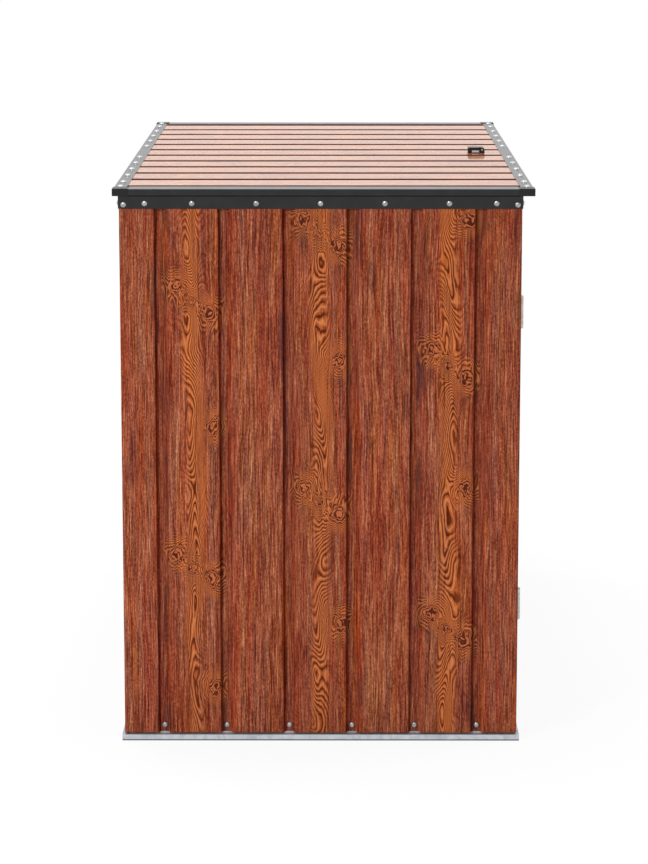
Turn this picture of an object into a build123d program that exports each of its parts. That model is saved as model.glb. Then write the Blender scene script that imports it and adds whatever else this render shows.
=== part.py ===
"""Garden storage box in ribbed sheet steel: a lidded body on a galvanised base rail, with double doors.

Frame: millimetres, +Z up, the doors face -Y, the origin is at the bottom centre of the whole box.
The lid turns on hinges at the back and is held up by two gas struts.
"""

import math
import os

from build123d import *

os.makedirs("parts", exist_ok=True)

# Overall sizes
lid_length = 1547.0
lid_depth = 840.0
lid_top = 1137.0
overhang_side = 13.0
overhang_front = 24.5
overhang_back = 12.5

# Ribbed sheet
sheet = 1.0
sheet_bend = 3.0
groove_pitch = 128.0
groove_mouth = 25.5
groove_floor = 16.0
groove_depth = 10.0
groove_edge_flat = 50.0
corner_return = 10.0
seam_gap = 1.0

# Galvanised base rail
base_sheet = 1.2
base_out = 5.3
base_lip = 12.5
base_upstand = 46.0
base_foot = 28.0
sill_depth = 46.0
wall_gap = 3.0

# Black top rail round the body
rail_sheet = 1.5
rail_drop = 25.0
rail_flange = 28.0
rail_corner_radius = 9.0
lid_gap = 1.5
stop_lip_below = 13.0

# Posts, jambs and braces
post_sheet = 1.5
post_leg = 40.0
jamb_face = 48.0
jamb_return = 18.0
brace_sheet = 1.5
brace_height = 40.0
brace_depth = 20.0
brace_bend = 2.5
brace_end_gap = 12.0
back_brace_level = 560.0
mid_post_width = 60.0
mid_post_flange = 14.0

# Lid edges
lid_rail_sheet = 1.2
lid_rail_inset = 1.0
lid_strip_width = 26.0
lid_side_width = 50.0
lid_rail_foot = 30.0
cap_width = 32.0
cap_length = 37.0
cap_height = 15.0
cap_edge = 1.0
cap_proud = 1.0
panel_play = 1.5
lid_rail_bend = 1.8
lid_brace_width = 30.0
lid_brace_height = 18.0
lid_brace_flange = 12.0
lid_brace_front_level = -146.0
seam_strip_width = 60.0
seam_strip_sheet = 1.5
buffer_diameter = 14.0
buffer_front = 330.0
buffer_back = 250.0

# Butt hinges, the same pattern on the lid and the doors
hinge_length = 65.0
hinge_knuckles = 5
knuckle_radius = 4.25
knuckle_play = 0.3
pin_radius = 2.25
pin_clearance = 0.05
pin_head = 1.0
leaf_sheet = 1.5
leaf_reach = 22.0
leaf_setback = 0.8
leaf_hole_near = 11.0
leaf_hole_far = 16.5
leaf_hole_rows = (-23.0, -8.0, 8.0, 23.0)
lid_hinge_flat = 4
door_hinge_low = 276.0
door_hinge_high = 881.0

# Doors
door_gap = 4.0
door_sill_gap = 6.0
door_head_gap = 3.5
door_depth = 22.0
door_stop_gap = 0.3
door_lock_flat = 97.0
channel_height = 30.0
channel_sheet = 1.5

# Bow handles
handle_level = 700.0
handle_span = 120.0
handle_inset = 44.0
handle_rod = 4.0
handle_reach = 18.0
handle_bend = 9.0
handle_foot = 18.0
handle_foot_height = 36.0
handle_rivet_offset = 12.0
handle_foot_sheet = 2.0

# Slide latch on the right door, keeper on the left door
latch_level = 560.0
latch_plate_start = 6.0
latch_plate_length = 76.0
latch_plate_height = 34.0
latch_plate_sheet = 1.5
latch_rod = 4.5
latch_rod_gap = 1.6
latch_clearance = 0.3
latch_tip_inset = 5.0
latch_loop_length = 11.0
latch_loop_wall = 2.6
latch_loop_inset = 6.0
latch_rod_over = 6.0
latch_knob_at = 50.0
latch_knob_radius = 4.0
latch_knob_drop = 26.0
keeper_plate_length = 30.0
keeper_loop_inset = 2.0
keeper_play = 1.0

# Bolts inside the left door, one up and one down
drop_rod = 3.5
drop_inset = 30.0
drop_length = 150.0
drop_tip = 1.2
drop_clearance = 0.2
drop_knob_radius = 4.0
drop_knob_reach = 24.0
drop_knob_up = 34.0
drop_hole_play = 2.0

# Gas struts
strut_arm = 261.0
strut_closed_angle = 70.0
strut_drop_angle = 5.2
strut_inset = 46.5
stud_radius = 4.0
stud_play = 0.1
stud_head_radius = 6.0
stud_head = 2.0
eye_radius = 8.0
eye_width = 8.0
eye_side_play = 0.3
bracket_sheet = 2.5
bracket_width = 40.0
bracket_tail = 12.0
bracket_tab = 37.0
cylinder_radius = 9.0
cylinder_wall = 1.5
cylinder_plug = 18.0
cylinder_end_room = 22.0
cylinder_guide = 12.0
neck_radius = 5.0
neck_start = 6.0
strut_rod_radius = 4.0
strut_rod_play = 0.15
strut_rod_end_room = 27.0
piston_radius = 7.2
piston_length = 8.0

# Lid pull
pull_setback = 62.0
pull_depth = 37.0
pull_width = 38.0
pull_plate = 1.5
pull_knuckle_radius = 5.6
pull_pin_radius = 2.2
pull_pin_proud = 0.6
pull_side_knuckle = 9.5
pull_side_play = 0.3
pull_flap_thick = 7.0
pull_flap_leg = 9.0
pull_flap_play = 0.6
pull_flap_round = 3.0
pull_setdown = 0.3

# Fasteners
bolt_head_radius = 5.9
bolt_head_rim = 1.0
bolt_head_height = 4.2
bolt_radius = 3.0
bolt_play = 0.2
nut_radius = 4.6
nut_height = 4.5
base_bolt_level = 29.0
rail_bolt_drop = 14.0
rail_bolt_end = 51.5
corner_bolt_drop = 16.5
corner_bolt_inset = 9.5
lid_screw_radius = 2.4
lid_screw_length = 9.0
lid_screw_end = 10.0
rivet_head_radius = 3.2
rivet_head_height = 1.5
rivet_head_rim = 0.4
rivet_radius = 1.6
rivet_tail_radius = 2.4
rivet_tail = 2.0

# Planes worked out from the sizes above
body_half = lid_length / 2 - overhang_side
front_plane = -lid_depth / 2 + overhang_front
back_plane = lid_depth / 2 - overhang_back
wall_middle = (front_plane + back_plane) / 2
wall_depth = back_plane - front_plane
floor_inner = groove_depth + sheet
wall_bottom = base_lip + wall_gap
cap_bottom = lid_top - cap_height
body_top = cap_bottom - lid_gap
wall_top = body_top - rail_sheet
rail_bottom = body_top - rail_drop
lid_rail_height = floor_inner + 2 * lid_rail_sheet
lid_rail_top = lid_top - cap_proud
lid_rail_bottom = lid_rail_top - lid_rail_height
roof_top = lid_rail_top - lid_rail_sheet
roof_under = roof_top - floor_inner
lid_half = lid_length / 2
lid_rail_x = lid_half - lid_rail_inset
lid_rail_y = lid_depth / 2 - lid_rail_inset
base_half = body_half + base_out
base_front = front_plane - base_out
base_back = back_plane + base_out
base_ledge = base_out + floor_inner
door_plane = front_plane + sheet
door_back = door_plane + door_depth
jamb_inner = body_half - jamb_face
door_axis_x = jamb_inner - door_gap / 2
door_axis_y = door_plane - knuckle_radius
door_outer = jamb_inner - door_gap
door_inner = door_gap / 2
door_width = door_outer - door_inner
door_bottom = base_lip + door_sill_gap
door_top = rail_bottom - door_head_gap
stop_plane = door_back + door_stop_gap
brace_inner = body_half - floor_inner - brace_depth
hinge_back_y = back_plane + rail_sheet + knuckle_radius
hinge_back_z = lid_rail_bottom - knuckle_radius

SIDES = (("left", -1), ("right", 1))
FACING = {
    "left": (0, -90, 0),
    "right": (0, 90, 0),
    "front": (90, 0, 0),
    "back": (-90, 0, 0),
    "top": (0, 0, 0),
}


def write(piece, name):
    """Label a finished piece and write its file."""
    piece.part.label = name
    export_step(piece.part, f"parts/{name}.step")


def groove_centres(span, end_flat):
    """Groove centres at the pitch, as many as fit between two end flats, centred on the span."""
    count = int((span - 2 * end_flat - groove_mouth) // groove_pitch) + 1
    return [(index - (count - 1) / 2) * groove_pitch for index in range(count)]


def half_groove_centres(half_span, end_flat):
    """Groove centres from half a pitch outwards, so that a flat lies on the middle line."""
    room = half_span - end_flat - groove_mouth / 2 - groove_pitch / 2
    return [(index + 0.5) * groove_pitch for index in range(int(room // groove_pitch) + 1)]


def ribbed(start, end, centres):
    """Distances along a ribbed sheet and depths behind its face, from one end to the other."""
    points = [(start, 0.0)]
    for centre in centres:
        points.append((centre - groove_mouth / 2, 0.0))
        points.append((centre - groove_floor / 2, groove_depth))
        points.append((centre + groove_floor / 2, groove_depth))
        points.append((centre + groove_mouth / 2, 0.0))
    points.append((end, 0.0))
    return points


def drill(places, face, radius, depth):
    """Cut a round hole at each place, through the face named and as deep as told."""
    with Locations(*[Location(place, FACING[face]) for place in places]):
        Cylinder(radius, 2 * depth, mode=Mode.SUBTRACT)


wall_grooves = [wall_middle + centre for centre in groove_centres(wall_depth, groove_edge_flat)]
wall_flats = [(a + b) / 2 for a, b in zip(wall_grooves, wall_grooves[1:])]
back_sheet_half = body_half - corner_return - seam_gap / 2
half_back_grooves = half_groove_centres(back_sheet_half, groove_mouth)
half_roof_grooves = half_groove_centres(lid_half, lid_side_width + lid_rail_inset)
back_grooves = [-x for x in reversed(half_back_grooves)] + half_back_grooves
roof_flats = [index * groove_pitch for index in range(1, len(half_roof_grooves))]
lid_hinge_spread = lid_hinge_flat * groove_pitch
lid_hinge_places = (-lid_hinge_spread, 0.0, lid_hinge_spread)
door_hinge_places = (door_hinge_low, door_hinge_high)

# Where each bolt goes
bolt_hole = bolt_radius + bolt_play
rail_bolt_z = body_top - rail_bolt_drop
corner_bolt_z = body_top - corner_bolt_drop
side_bolt_y = [front_plane + rail_bolt_end] + wall_flats + [back_plane - rail_bolt_end]
corner_bolt_y = [front_plane + corner_bolt_inset, back_plane - corner_bolt_inset]
hinge_clear = hinge_length / 2 + bolt_head_radius + nut_radius
back_flats = [index * groove_pitch for index in range(1, len(half_back_grooves))]
back_bolt_x = [
    side * x
    for side in (-1, 1)
    for x in back_flats
    if min(abs(side * x - hinge) for hinge in lid_hinge_places) > hinge_clear
]
corner_bolt_x = [side * (body_half - corner_bolt_inset - post_leg / 2) for side in (-1, 1)]


def side_points(side, ys, z, outward):
    """Points on a side face, at a distance outside or inside the wall's outer plane."""
    return [(side * (body_half + outward), y, z) for y in ys]


# Hinge leaves in their own frame: the axis is Z, the leaf reaches along +X, its seat is at +Y
knuckle_length = hinge_length / hinge_knuckles
knuckle_levels = [(index - (hinge_knuckles - 1) / 2) * knuckle_length for index in range(hinge_knuckles)]
leaf_holes = [
    (leaf_hole_near if index % 2 else leaf_hole_far, row) for index, row in enumerate(leaf_hole_rows)
]


def hinge_leaf(levels, bore):
    """One leaf with knuckles at the given levels along the axis."""
    start = knuckle_radius + leaf_setback
    seat = knuckle_radius - leaf_sheet / 2
    height = knuckle_length - knuckle_play
    with BuildPart() as leaf:
        with Locations(((start + leaf_reach) / 2, seat, 0)):
            Box(leaf_reach - start, leaf_sheet, hinge_length)
        with Locations(*[(0, 0, level) for level in levels]):
            Cylinder(knuckle_radius, height)
        with Locations(*[(start / 2, seat, level) for level in levels]):
            Box(start, leaf_sheet, height)
        Cylinder(bore, 2 * hinge_length, mode=Mode.SUBTRACT)
        with Locations(*[Location((x, knuckle_radius, row), FACING["front"]) for x, row in leaf_holes]):
            Cylinder(rivet_radius, 4 * leaf_sheet, mode=Mode.SUBTRACT)
    return leaf.part


fixed_leaf = hinge_leaf(knuckle_levels[0::2], pin_radius)
moving_leaf = hinge_leaf(knuckle_levels[1::2], pin_radius + pin_clearance)

with BuildPart() as hinge_pin:
    Cylinder(pin_radius, hinge_length)
    for end in (-1, 1):
        with Locations((0, 0, end * (hinge_length + pin_head) / 2)):
            Cylinder(pin_radius + pin_head, pin_head)


def door_hinge_planes(side, reach):
    """Hinge frames on one side of the doors, with the leaf reaching along reach times +X."""
    return [
        Plane((side * door_axis_x, door_axis_y, z), x_dir=(reach, 0, 0), z_dir=(0, 0, reach))
        for z in door_hinge_places
    ]


def lid_hinge_planes(x_dir):
    """Hinge frames along the back edge, with the leaf reaching down the body or under the lid."""
    return [
        Plane((x, hinge_back_y, hinge_back_z), x_dir=x_dir, z_dir=(-1, 0, 0)) for x in lid_hinge_places
    ]


def leaf_hole_points(planes):
    """The leaf holes at the seat of each hinge frame."""
    return [plane.from_local_coords((x, knuckle_radius, row)) for plane in planes for x, row in leaf_holes]


body_leaf_planes = lid_hinge_planes((0, 0, -1))
lid_leaf_planes = lid_hinge_planes((0, -1, 0))

# Base rail, mitred at the corners
side_base_outline = [
    (0, 0),
    (base_foot, 0),
    (base_foot, base_sheet),
    (base_sheet, base_sheet),
    (base_sheet, base_lip - base_sheet),
    (base_ledge + base_sheet, base_lip - base_sheet),
    (base_ledge + base_sheet, base_upstand),
    (base_ledge, base_upstand),
    (base_ledge, base_lip),
    (0, base_lip),
]
sill_outline = [
    (0, 0),
    (base_foot, 0),
    (base_foot, base_sheet),
    (base_sheet, base_sheet),
    (base_sheet, base_lip - base_sheet),
    (sill_depth, base_lip - base_sheet),
    (sill_depth, base_lip),
    (0, base_lip),
]


def mitre_plane(side, end):
    """Upright plane through an outer base corner, facing the side rail's half of the mitre."""
    corner_y = base_front if end < 0 else base_back
    return Plane((side * base_half, corner_y, 0), z_dir=(side, -end, 0))


for name, side in SIDES:
    with BuildPart() as base_rail:
        with BuildSketch(Plane((side * base_half, base_back, 0), x_dir=(-side, 0, 0), z_dir=(0, side, 0))):
            with BuildLine():
                Polyline(*side_base_outline, close=True)
            make_face()
        extrude(amount=-side * (base_back - base_front))
        for end in (-1, 1):
            split(bisect_by=mitre_plane(side, end), keep=Keep.TOP)
        drill(side_points(side, wall_grooves, base_bolt_level, -floor_inner), name, bolt_hole, nut_height)
    write(base_rail, f"base_rail_{name}")

with BuildPart() as base_rail_back:
    with BuildSketch(Plane((-base_half, base_back, 0), x_dir=(0, -1, 0), z_dir=(-1, 0, 0))):
        with BuildLine():
            Polyline(*side_base_outline, close=True)
        make_face()
    extrude(amount=-2 * base_half)
    for side in (-1, 1):
        split(bisect_by=mitre_plane(side, 1), keep=Keep.BOTTOM)
    back_base_places = [(x, back_plane - floor_inner, base_bolt_level) for x in back_grooves]
    drill(back_base_places, "back", bolt_hole, nut_height)
write(base_rail_back, "base_rail_back")

drop_x = -(door_inner + drop_inset)
drop_y = (door_plane + floor_inner + door_back - channel_sheet) / 2

with BuildPart() as base_sill:
    with BuildSketch(Plane((-base_half, base_front, 0), x_dir=(0, 1, 0), z_dir=(1, 0, 0))):
        with BuildLine():
            Polyline(*sill_outline, close=True)
        make_face()
    extrude(amount=2 * base_half)
    for side in (-1, 1):
        split(bisect_by=mitre_plane(side, -1), keep=Keep.BOTTOM)
    drill([(drop_x, drop_y, base_lip)], "top", drop_rod + drop_hole_play, 2 * base_sheet)
write(base_sill, "base_sill")

# Side walls: one ribbed sheet each, folded round the front and back corners
for name, side in SIDES:
    face_x = body_half - sheet / 2
    outline = [(side * (body_half - corner_return), front_plane + sheet / 2)]
    for y, depth in ribbed(front_plane + sheet / 2, back_plane - sheet / 2, wall_grooves):
        outline.append((side * (face_x - depth), y))
    outline.append((side * (body_half - corner_return), back_plane - sheet / 2))
    with BuildPart() as wall:
        with BuildSketch(Plane.XY.offset(wall_bottom)):
            with BuildLine():
                FilletPolyline(*outline, radius=sheet_bend)
            trace(line_width=sheet)
        extrude(amount=wall_top - wall_bottom)
        drill(side_points(side, wall_grooves, base_bolt_level, -floor_inner), name, bolt_hole, nut_height)
        drill(side_points(side, side_bolt_y, rail_bolt_z, 0), name, bolt_hole, nut_height)
        drill(side_points(side, corner_bolt_y, corner_bolt_z, 0), name, bolt_hole, nut_height)
    write(wall, f"wall_{name}")

# Back wall: two ribbed sheets that meet on the middle post
for name, side in SIDES:
    face_y = back_plane - sheet / 2
    outline = [
        (side * x, face_y - depth) for x, depth in ribbed(seam_gap / 2, back_sheet_half, half_back_grooves)
    ]
    with BuildPart() as wall_back:
        with BuildSketch(Plane.XY.offset(wall_bottom)):
            with BuildLine():
                FilletPolyline(*outline, radius=sheet_bend)
            trace(line_width=sheet)
        extrude(amount=wall_top - wall_bottom)
        base_places = [(side * x, back_plane - floor_inner, base_bolt_level) for x in half_back_grooves]
        drill(base_places, "back", bolt_hole, nut_height)
        rail_places = [(x, back_plane, rail_bolt_z) for x in back_bolt_x if side * x > 0]
        drill(rail_places, "back", bolt_hole, nut_height)
        corner_places = [(x, back_plane, corner_bolt_z) for x in corner_bolt_x if side * x > 0]
        drill(corner_places, "back", bolt_hole, nut_height)
        leaf_places = [point for point in leaf_hole_points(body_leaf_planes) if side * point.X > 0]
        drill(leaf_places, "back", rivet_radius, 2 * sheet + rail_sheet)
    write(wall_back, f"wall_back_{name}")

# Front jambs: the folded posts that carry the door hinges
jamb_y = door_plane + post_sheet / 2
for name, side in SIDES:
    leg_x = body_half - sheet - post_sheet / 2
    return_x = jamb_inner + post_sheet / 2
    outline = [
        (side * leg_x, jamb_y + post_leg),
        (side * leg_x, jamb_y),
        (side * return_x, jamb_y),
        (side * return_x, jamb_y + jamb_return),
    ]
    with BuildPart() as jamb:
        with BuildSketch(Plane.XY.offset(wall_bottom)):
            with BuildLine():
                FilletPolyline(*outline, radius=sheet_bend)
            trace(line_width=post_sheet)
        extrude(amount=wall_top - wall_bottom)
        drill(leaf_hole_points(door_hinge_planes(side, side)), "front", rivet_radius, 2 * post_sheet)
        corner_places = side_points(side, corner_bolt_y[:1], corner_bolt_z, -sheet)
        drill(corner_places, name, bolt_hole, nut_height)
        front_places = [(x, door_plane, corner_bolt_z) for x in corner_bolt_x if side * x > 0]
        drill(front_places, "front", bolt_hole, nut_height)
    write(jamb, f"front_jamb_{name}")

# Back posts: angles that join the side and back sheets
for name, side in SIDES:
    corner_x = body_half - sheet - post_sheet / 2
    corner_y = back_plane - sheet - post_sheet / 2
    outline = [
        (side * corner_x, corner_y - post_leg),
        (side * corner_x, corner_y),
        (side * (corner_x - post_leg), corner_y),
    ]
    with BuildPart() as post:
        with BuildSketch(Plane.XY.offset(wall_bottom)):
            with BuildLine():
                FilletPolyline(*outline, radius=sheet_bend)
            trace(line_width=post_sheet)
        extrude(amount=wall_top - wall_bottom)
        corner_places = side_points(side, corner_bolt_y[1:], corner_bolt_z, -sheet)
        drill(corner_places, name, bolt_hole, nut_height)
        back_places = [(x, back_plane - sheet, corner_bolt_z) for x in corner_bolt_x if side * x > 0]
        drill(back_places, "back", bolt_hole, nut_height)
    write(post, f"back_post_{name}")

# Middle post: a hat section behind the seam of the back wall
mid_face_y = back_plane - sheet - post_sheet / 2
mid_back_y = back_plane - floor_inner + post_sheet / 2
mid_post_half = mid_post_width / 2
with BuildPart() as mid_post:
    with BuildSketch(Plane.XY.offset(wall_bottom)):
        with BuildLine():
            FilletPolyline(
                (-mid_post_half, mid_face_y),
                (-mid_post_half + mid_post_flange, mid_face_y),
                (-mid_post_half + mid_post_flange, mid_back_y),
                (mid_post_half - mid_post_flange, mid_back_y),
                (mid_post_half - mid_post_flange, mid_face_y),
                (mid_post_half, mid_face_y),
                radius=sheet_bend,
            )
        trace(line_width=post_sheet)
    extrude(amount=wall_top - wall_bottom)
    tail_reach = rail_sheet + sheet + 2 * post_sheet
    drill(leaf_hole_points(body_leaf_planes[1:2]), "back", rivet_tail_radius + bolt_play, tail_reach)
write(mid_post, "back_mid_post")

# Top rails: black angles outside the walls, with a flange over the sheet edges
flange_front = stop_plane + rail_sheet
flange_back = back_plane + rail_sheet - rail_flange
rail_middle_z = (rail_bottom + body_top) / 2
flange_z = body_top - rail_sheet / 2
flange_inner = body_half + rail_sheet - rail_flange

for name, side in SIDES:
    rail_origin = (side * body_half, wall_middle, rail_middle_z)
    rail_face = Plane(rail_origin, x_dir=(0, side, 0), z_dir=(side, 0, 0))
    with BuildPart() as top_rail:
        with BuildSketch(rail_face) as face:
            Rectangle(wall_depth + 2 * rail_sheet, rail_drop)
            fillet(face.vertices().group_by(Axis.Y)[0], rail_corner_radius)
        extrude(amount=rail_sheet)
        with Locations((side * (body_half + flange_inner) / 2, (flange_front + flange_back) / 2, flange_z)):
            Box(body_half - flange_inner, flange_back - flange_front, rail_sheet)
        drill(side_points(side, side_bolt_y, rail_bolt_z, 0), name, bolt_hole, nut_height)
        drill(side_points(side, corner_bolt_y, corner_bolt_z, 0), name, bolt_hole, nut_height)
    write(top_rail, f"top_rail_{name}")

with BuildPart() as top_rail_back:
    with Locations((0, back_plane + rail_sheet / 2, rail_middle_z)):
        Box(2 * body_half, rail_sheet, rail_drop)
    with Locations((0, (flange_back + back_plane) / 2, flange_z)):
        Box(2 * body_half, back_plane - flange_back, rail_sheet)
    drill([(x, back_plane, rail_bolt_z) for x in back_bolt_x], "back", bolt_hole, nut_height)
    drill([(x, back_plane, corner_bolt_z) for x in corner_bolt_x], "back", bolt_hole, nut_height)
    drill(leaf_hole_points(body_leaf_planes), "back", rivet_radius, 2 * rail_sheet)
write(top_rail_back, "top_rail_back")

# The front rail also has a lip behind the doors, which they close against
stop_lip_bottom = rail_bottom - stop_lip_below
with BuildPart() as top_rail_front:
    with Locations((0, front_plane - rail_sheet / 2, rail_middle_z)):
        Box(2 * body_half, rail_sheet, rail_drop)
    with Locations((0, (front_plane + flange_front) / 2, flange_z)):
        Box(2 * body_half, flange_front - front_plane, rail_sheet)
    with Locations((0, stop_plane + rail_sheet / 2, (stop_lip_bottom + wall_top) / 2)):
        Box(2 * (jamb_inner + post_sheet), rail_sheet, wall_top - stop_lip_bottom)
    drill([(x, front_plane, corner_bolt_z) for x in corner_bolt_x], "front", bolt_hole, nut_height)
write(top_rail_front, "top_rail_front")

# Gas strut geometry: both studs lie at the same distance from the lid hinge, so each end of a strut
# turns by half of the lid's angle
drop_angle = math.radians(strut_drop_angle)
closed_angle = math.radians(strut_closed_angle)
lid_stud_y = hinge_back_y - strut_arm * math.cos(drop_angle)
lid_stud_z = hinge_back_z - strut_arm * math.sin(drop_angle)
body_stud_y = hinge_back_y - strut_arm * math.cos(drop_angle + closed_angle)
body_stud_z = hinge_back_z - strut_arm * math.sin(drop_angle + closed_angle)
strut_closed = 2 * strut_arm * math.sin(closed_angle / 2)
strut_x = body_half - strut_inset
bracket_inner = brace_inner - bracket_sheet


def channel_outline(near, far, low, high, wall):
    """Middle line of a channel whose two flanges run from near to the web at far."""
    web = far - math.copysign(wall / 2, far - near)
    return [(near, low + wall / 2), (web, low + wall / 2), (web, high - wall / 2), (near, high - wall / 2)]


# Braces along the inside of the walls
with BuildPart() as side_braces:
    for side in (-1, 1):
        brace_outline = channel_outline(
            side * (body_half - floor_inner),
            side * brace_inner,
            body_stud_z - brace_height / 2,
            body_stud_z + brace_height / 2,
            brace_sheet,
        )
        brace_start = door_back + brace_end_gap
        brace_end = back_plane - floor_inner - brace_end_gap
        with BuildSketch(Plane.XZ.offset(-brace_start)):
            with BuildLine():
                FilletPolyline(*brace_outline, radius=brace_bend)
            trace(line_width=brace_sheet)
        extrude(amount=-(brace_end - brace_start))
write(side_braces, "side_braces")

back_brace_half = body_half - corner_return - post_leg - brace_end_gap
with BuildPart() as back_brace:
    with BuildSketch(Plane.YZ):
        with BuildLine():
            FilletPolyline(
                *channel_outline(
                    back_plane - floor_inner,
                    back_plane - floor_inner - brace_depth,
                    back_brace_level - brace_height / 2,
                    back_brace_level + brace_height / 2,
                    brace_sheet,
                ),
                radius=brace_bend,
            )
        trace(line_width=brace_sheet)
    extrude(amount=back_brace_half, both=True)
write(back_brace, "back_brace")


def stud(side, y, z):
    """A shouldered stud on the inner face of a bracket plate, for a strut eye to turn on."""
    shoulder_end = strut_x + eye_width / 2 + eye_side_play
    pin_end = strut_x - eye_width / 2 - eye_side_play
    spans = (
        (bracket_inner, shoulder_end, stud_head_radius),
        (shoulder_end, pin_end, stud_radius),
        (pin_end, pin_end - stud_head, stud_head_radius),
    )
    for outer, inner, radius in spans:
        with Locations(Location((side * (outer + inner) / 2, y, z), FACING["right"])):
            Cylinder(radius, outer - inner)


plate_x = bracket_inner + bracket_sheet / 2
with BuildPart() as strut_body_brackets:
    for side in (-1, 1):
        with Locations((side * plate_x, body_stud_y, body_stud_z)):
            Box(bracket_sheet, bracket_width, brace_height)
        stud(side, body_stud_y, body_stud_z)
write(strut_body_brackets, "strut_body_brackets")

# Rubber buffers that the closed lid rests on
buffer_x = (body_half + lid_rail_x - lid_rail_foot) / 2
with BuildPart() as lid_buffers:
    for side in (-1, 1):
        with Locations(*[(side * buffer_x, y, body_top) for y in (-buffer_front, buffer_back)]):
            Cylinder(
                buffer_diameter / 2,
                lid_rail_bottom - body_top,
                align=(Align.CENTER, Align.CENTER, Align.MIN),
            )
write(lid_buffers, "lid_buffers")

# Hinge leaves and pins that stay with the body
with BuildPart() as hinge_fixed_leaves:
    for side in (-1, 1):
        with Locations(*door_hinge_planes(side, side)):
            add(fixed_leaf)
    with Locations(*body_leaf_planes):
        add(fixed_leaf)
write(hinge_fixed_leaves, "hinge_fixed_leaves")

with BuildPart() as hinge_pins:
    for side in (-1, 1):
        with Locations(*door_hinge_planes(side, side)):
            add(hinge_pin.part)
    with Locations(*body_leaf_planes):
        add(hinge_pin.part)
write(hinge_pins, "hinge_pins")


def domed_head(radius, rim, height):
    """Revolve a domed head that sits on the XY plane, into the part being built."""
    shoulder = (radius, rim)
    crown = (0, height)
    rise = height - rim
    sphere = (radius * radius + rise * rise) / (2 * rise)
    half_angle = math.asin(radius / sphere) / 2
    dome_middle = (sphere * math.sin(half_angle), height - sphere * (1 - math.cos(half_angle)))
    with BuildSketch(Plane.XZ) as profile:
        with BuildLine():
            Polyline(crown, (0, 0), (radius, 0), shoulder)
            ThreePointArc(shoulder, dome_middle, crown)
        make_face()
    revolve(profile.sketch, axis=Axis.Z)


def bolt_with_nut(grip):
    """A domed bolt with its nut, for a stack of sheets of the given thickness below its head."""
    with BuildPart() as bolt:
        domed_head(bolt_head_radius, bolt_head_rim, bolt_head_height)
        with Locations((0, 0, -(grip + nut_height) / 2)):
            Cylinder(bolt_radius, grip + nut_height)
        with BuildSketch(Plane.XY.offset(-grip)):
            RegularPolygon(nut_radius, 6)
        extrude(amount=-nut_height)
    return bolt.part


def rivet(grip, tail):
    """A rivet with a domed head, its shank through the grip and, if told, a tail behind."""
    with BuildPart() as piece:
        domed_head(rivet_head_radius, rivet_head_rim, rivet_head_height)
        with Locations((0, 0, -grip / 2)):
            Cylinder(rivet_radius, grip)
        if tail:
            with Locations((0, 0, -grip - rivet_tail / 2)):
                Cylinder(rivet_tail_radius, rivet_tail)
    return piece.part


def turned(places, face):
    """Locations at the places, with +Z turned to look out of the face named."""
    return [Location(tuple(place), FACING[face]) for place in places]


base_bolt = bolt_with_nut(sheet + base_sheet)
rail_bolt = bolt_with_nut(rail_sheet + sheet)
corner_bolt = bolt_with_nut(rail_sheet + sheet + post_sheet)

with BuildPart() as frame_bolts:
    for name, side in SIDES:
        with Locations(*turned(side_points(side, wall_grooves, base_bolt_level, -groove_depth), name)):
            add(base_bolt)
        with Locations(*turned(side_points(side, side_bolt_y, rail_bolt_z, rail_sheet), name)):
            add(rail_bolt)
        with Locations(*turned(side_points(side, corner_bolt_y, corner_bolt_z, rail_sheet), name)):
            add(corner_bolt)
    back_floor_y = back_plane - groove_depth
    with Locations(*turned([(x, back_floor_y, base_bolt_level) for x in back_grooves], "back")):
        add(base_bolt)
    with Locations(*turned([(x, back_plane + rail_sheet, rail_bolt_z) for x in back_bolt_x], "back")):
        add(rail_bolt)
    with Locations(*turned([(x, back_plane + rail_sheet, corner_bolt_z) for x in corner_bolt_x], "back")):
        add(corner_bolt)
    with Locations(*turned([(x, front_plane - rail_sheet, corner_bolt_z) for x in corner_bolt_x], "front")):
        add(corner_bolt)
write(frame_bolts, "frame_bolts")


def moved(points, dx=0.0, dy=0.0, dz=0.0):
    """The points, each shifted by the same step."""
    return [point + Vector(dx, dy, dz) for point in points]


jamb_rivet = rivet(leaf_sheet + post_sheet, True)
rail_rivet = rivet(leaf_sheet + rail_sheet + sheet, True)
with BuildPart() as frame_rivets:
    for side in (-1, 1):
        jamb_holes = leaf_hole_points(door_hinge_planes(side, side))
        with Locations(*turned(moved(jamb_holes, dy=-leaf_sheet), "front")):
            add(jamb_rivet)
    with Locations(*turned(moved(leaf_hole_points(body_leaf_planes), dy=leaf_sheet), "back")):
        add(rail_rivet)
write(frame_rivets, "frame_rivets")

# Lid: two ribbed panels held in four edge rails
cap_inner_x = lid_half - cap_length
cap_inner_y = lid_depth / 2 - cap_width
screw_y = lid_rail_y - lid_strip_width / 2
screw_x = roof_flats + [cap_inner_x - lid_screw_end]
panel_half_y = lid_rail_y - lid_rail_sheet - panel_play
panel_edge_x = lid_rail_x - lid_rail_sheet - panel_play
roof_line = roof_top - sheet / 2

for name, side in SIDES:
    outline = [
        (side * x, roof_line - depth) for x, depth in ribbed(seam_gap / 2, panel_edge_x, half_roof_grooves)
    ]
    with BuildPart() as lid_panel:
        with BuildSketch(Plane.XZ):
            with BuildLine():
                FilletPolyline(*outline, radius=sheet_bend)
            trace(line_width=sheet)
        extrude(amount=panel_half_y, both=True)
        with Locations(*[(side * lid_half, end * lid_depth / 2, roof_top) for end in (-1, 1)]):
            Box(
                2 * (cap_length + panel_play),
                2 * (cap_width + panel_play),
                2 * cap_height,
                mode=Mode.SUBTRACT,
            )
        screw_places = [(side * x, end * screw_y, roof_top) for x in screw_x for end in (-1, 1)]
        drill(screw_places, "top", lid_screw_radius, 2 * sheet)
    write(lid_panel, f"lid_panel_{name}")


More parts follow.
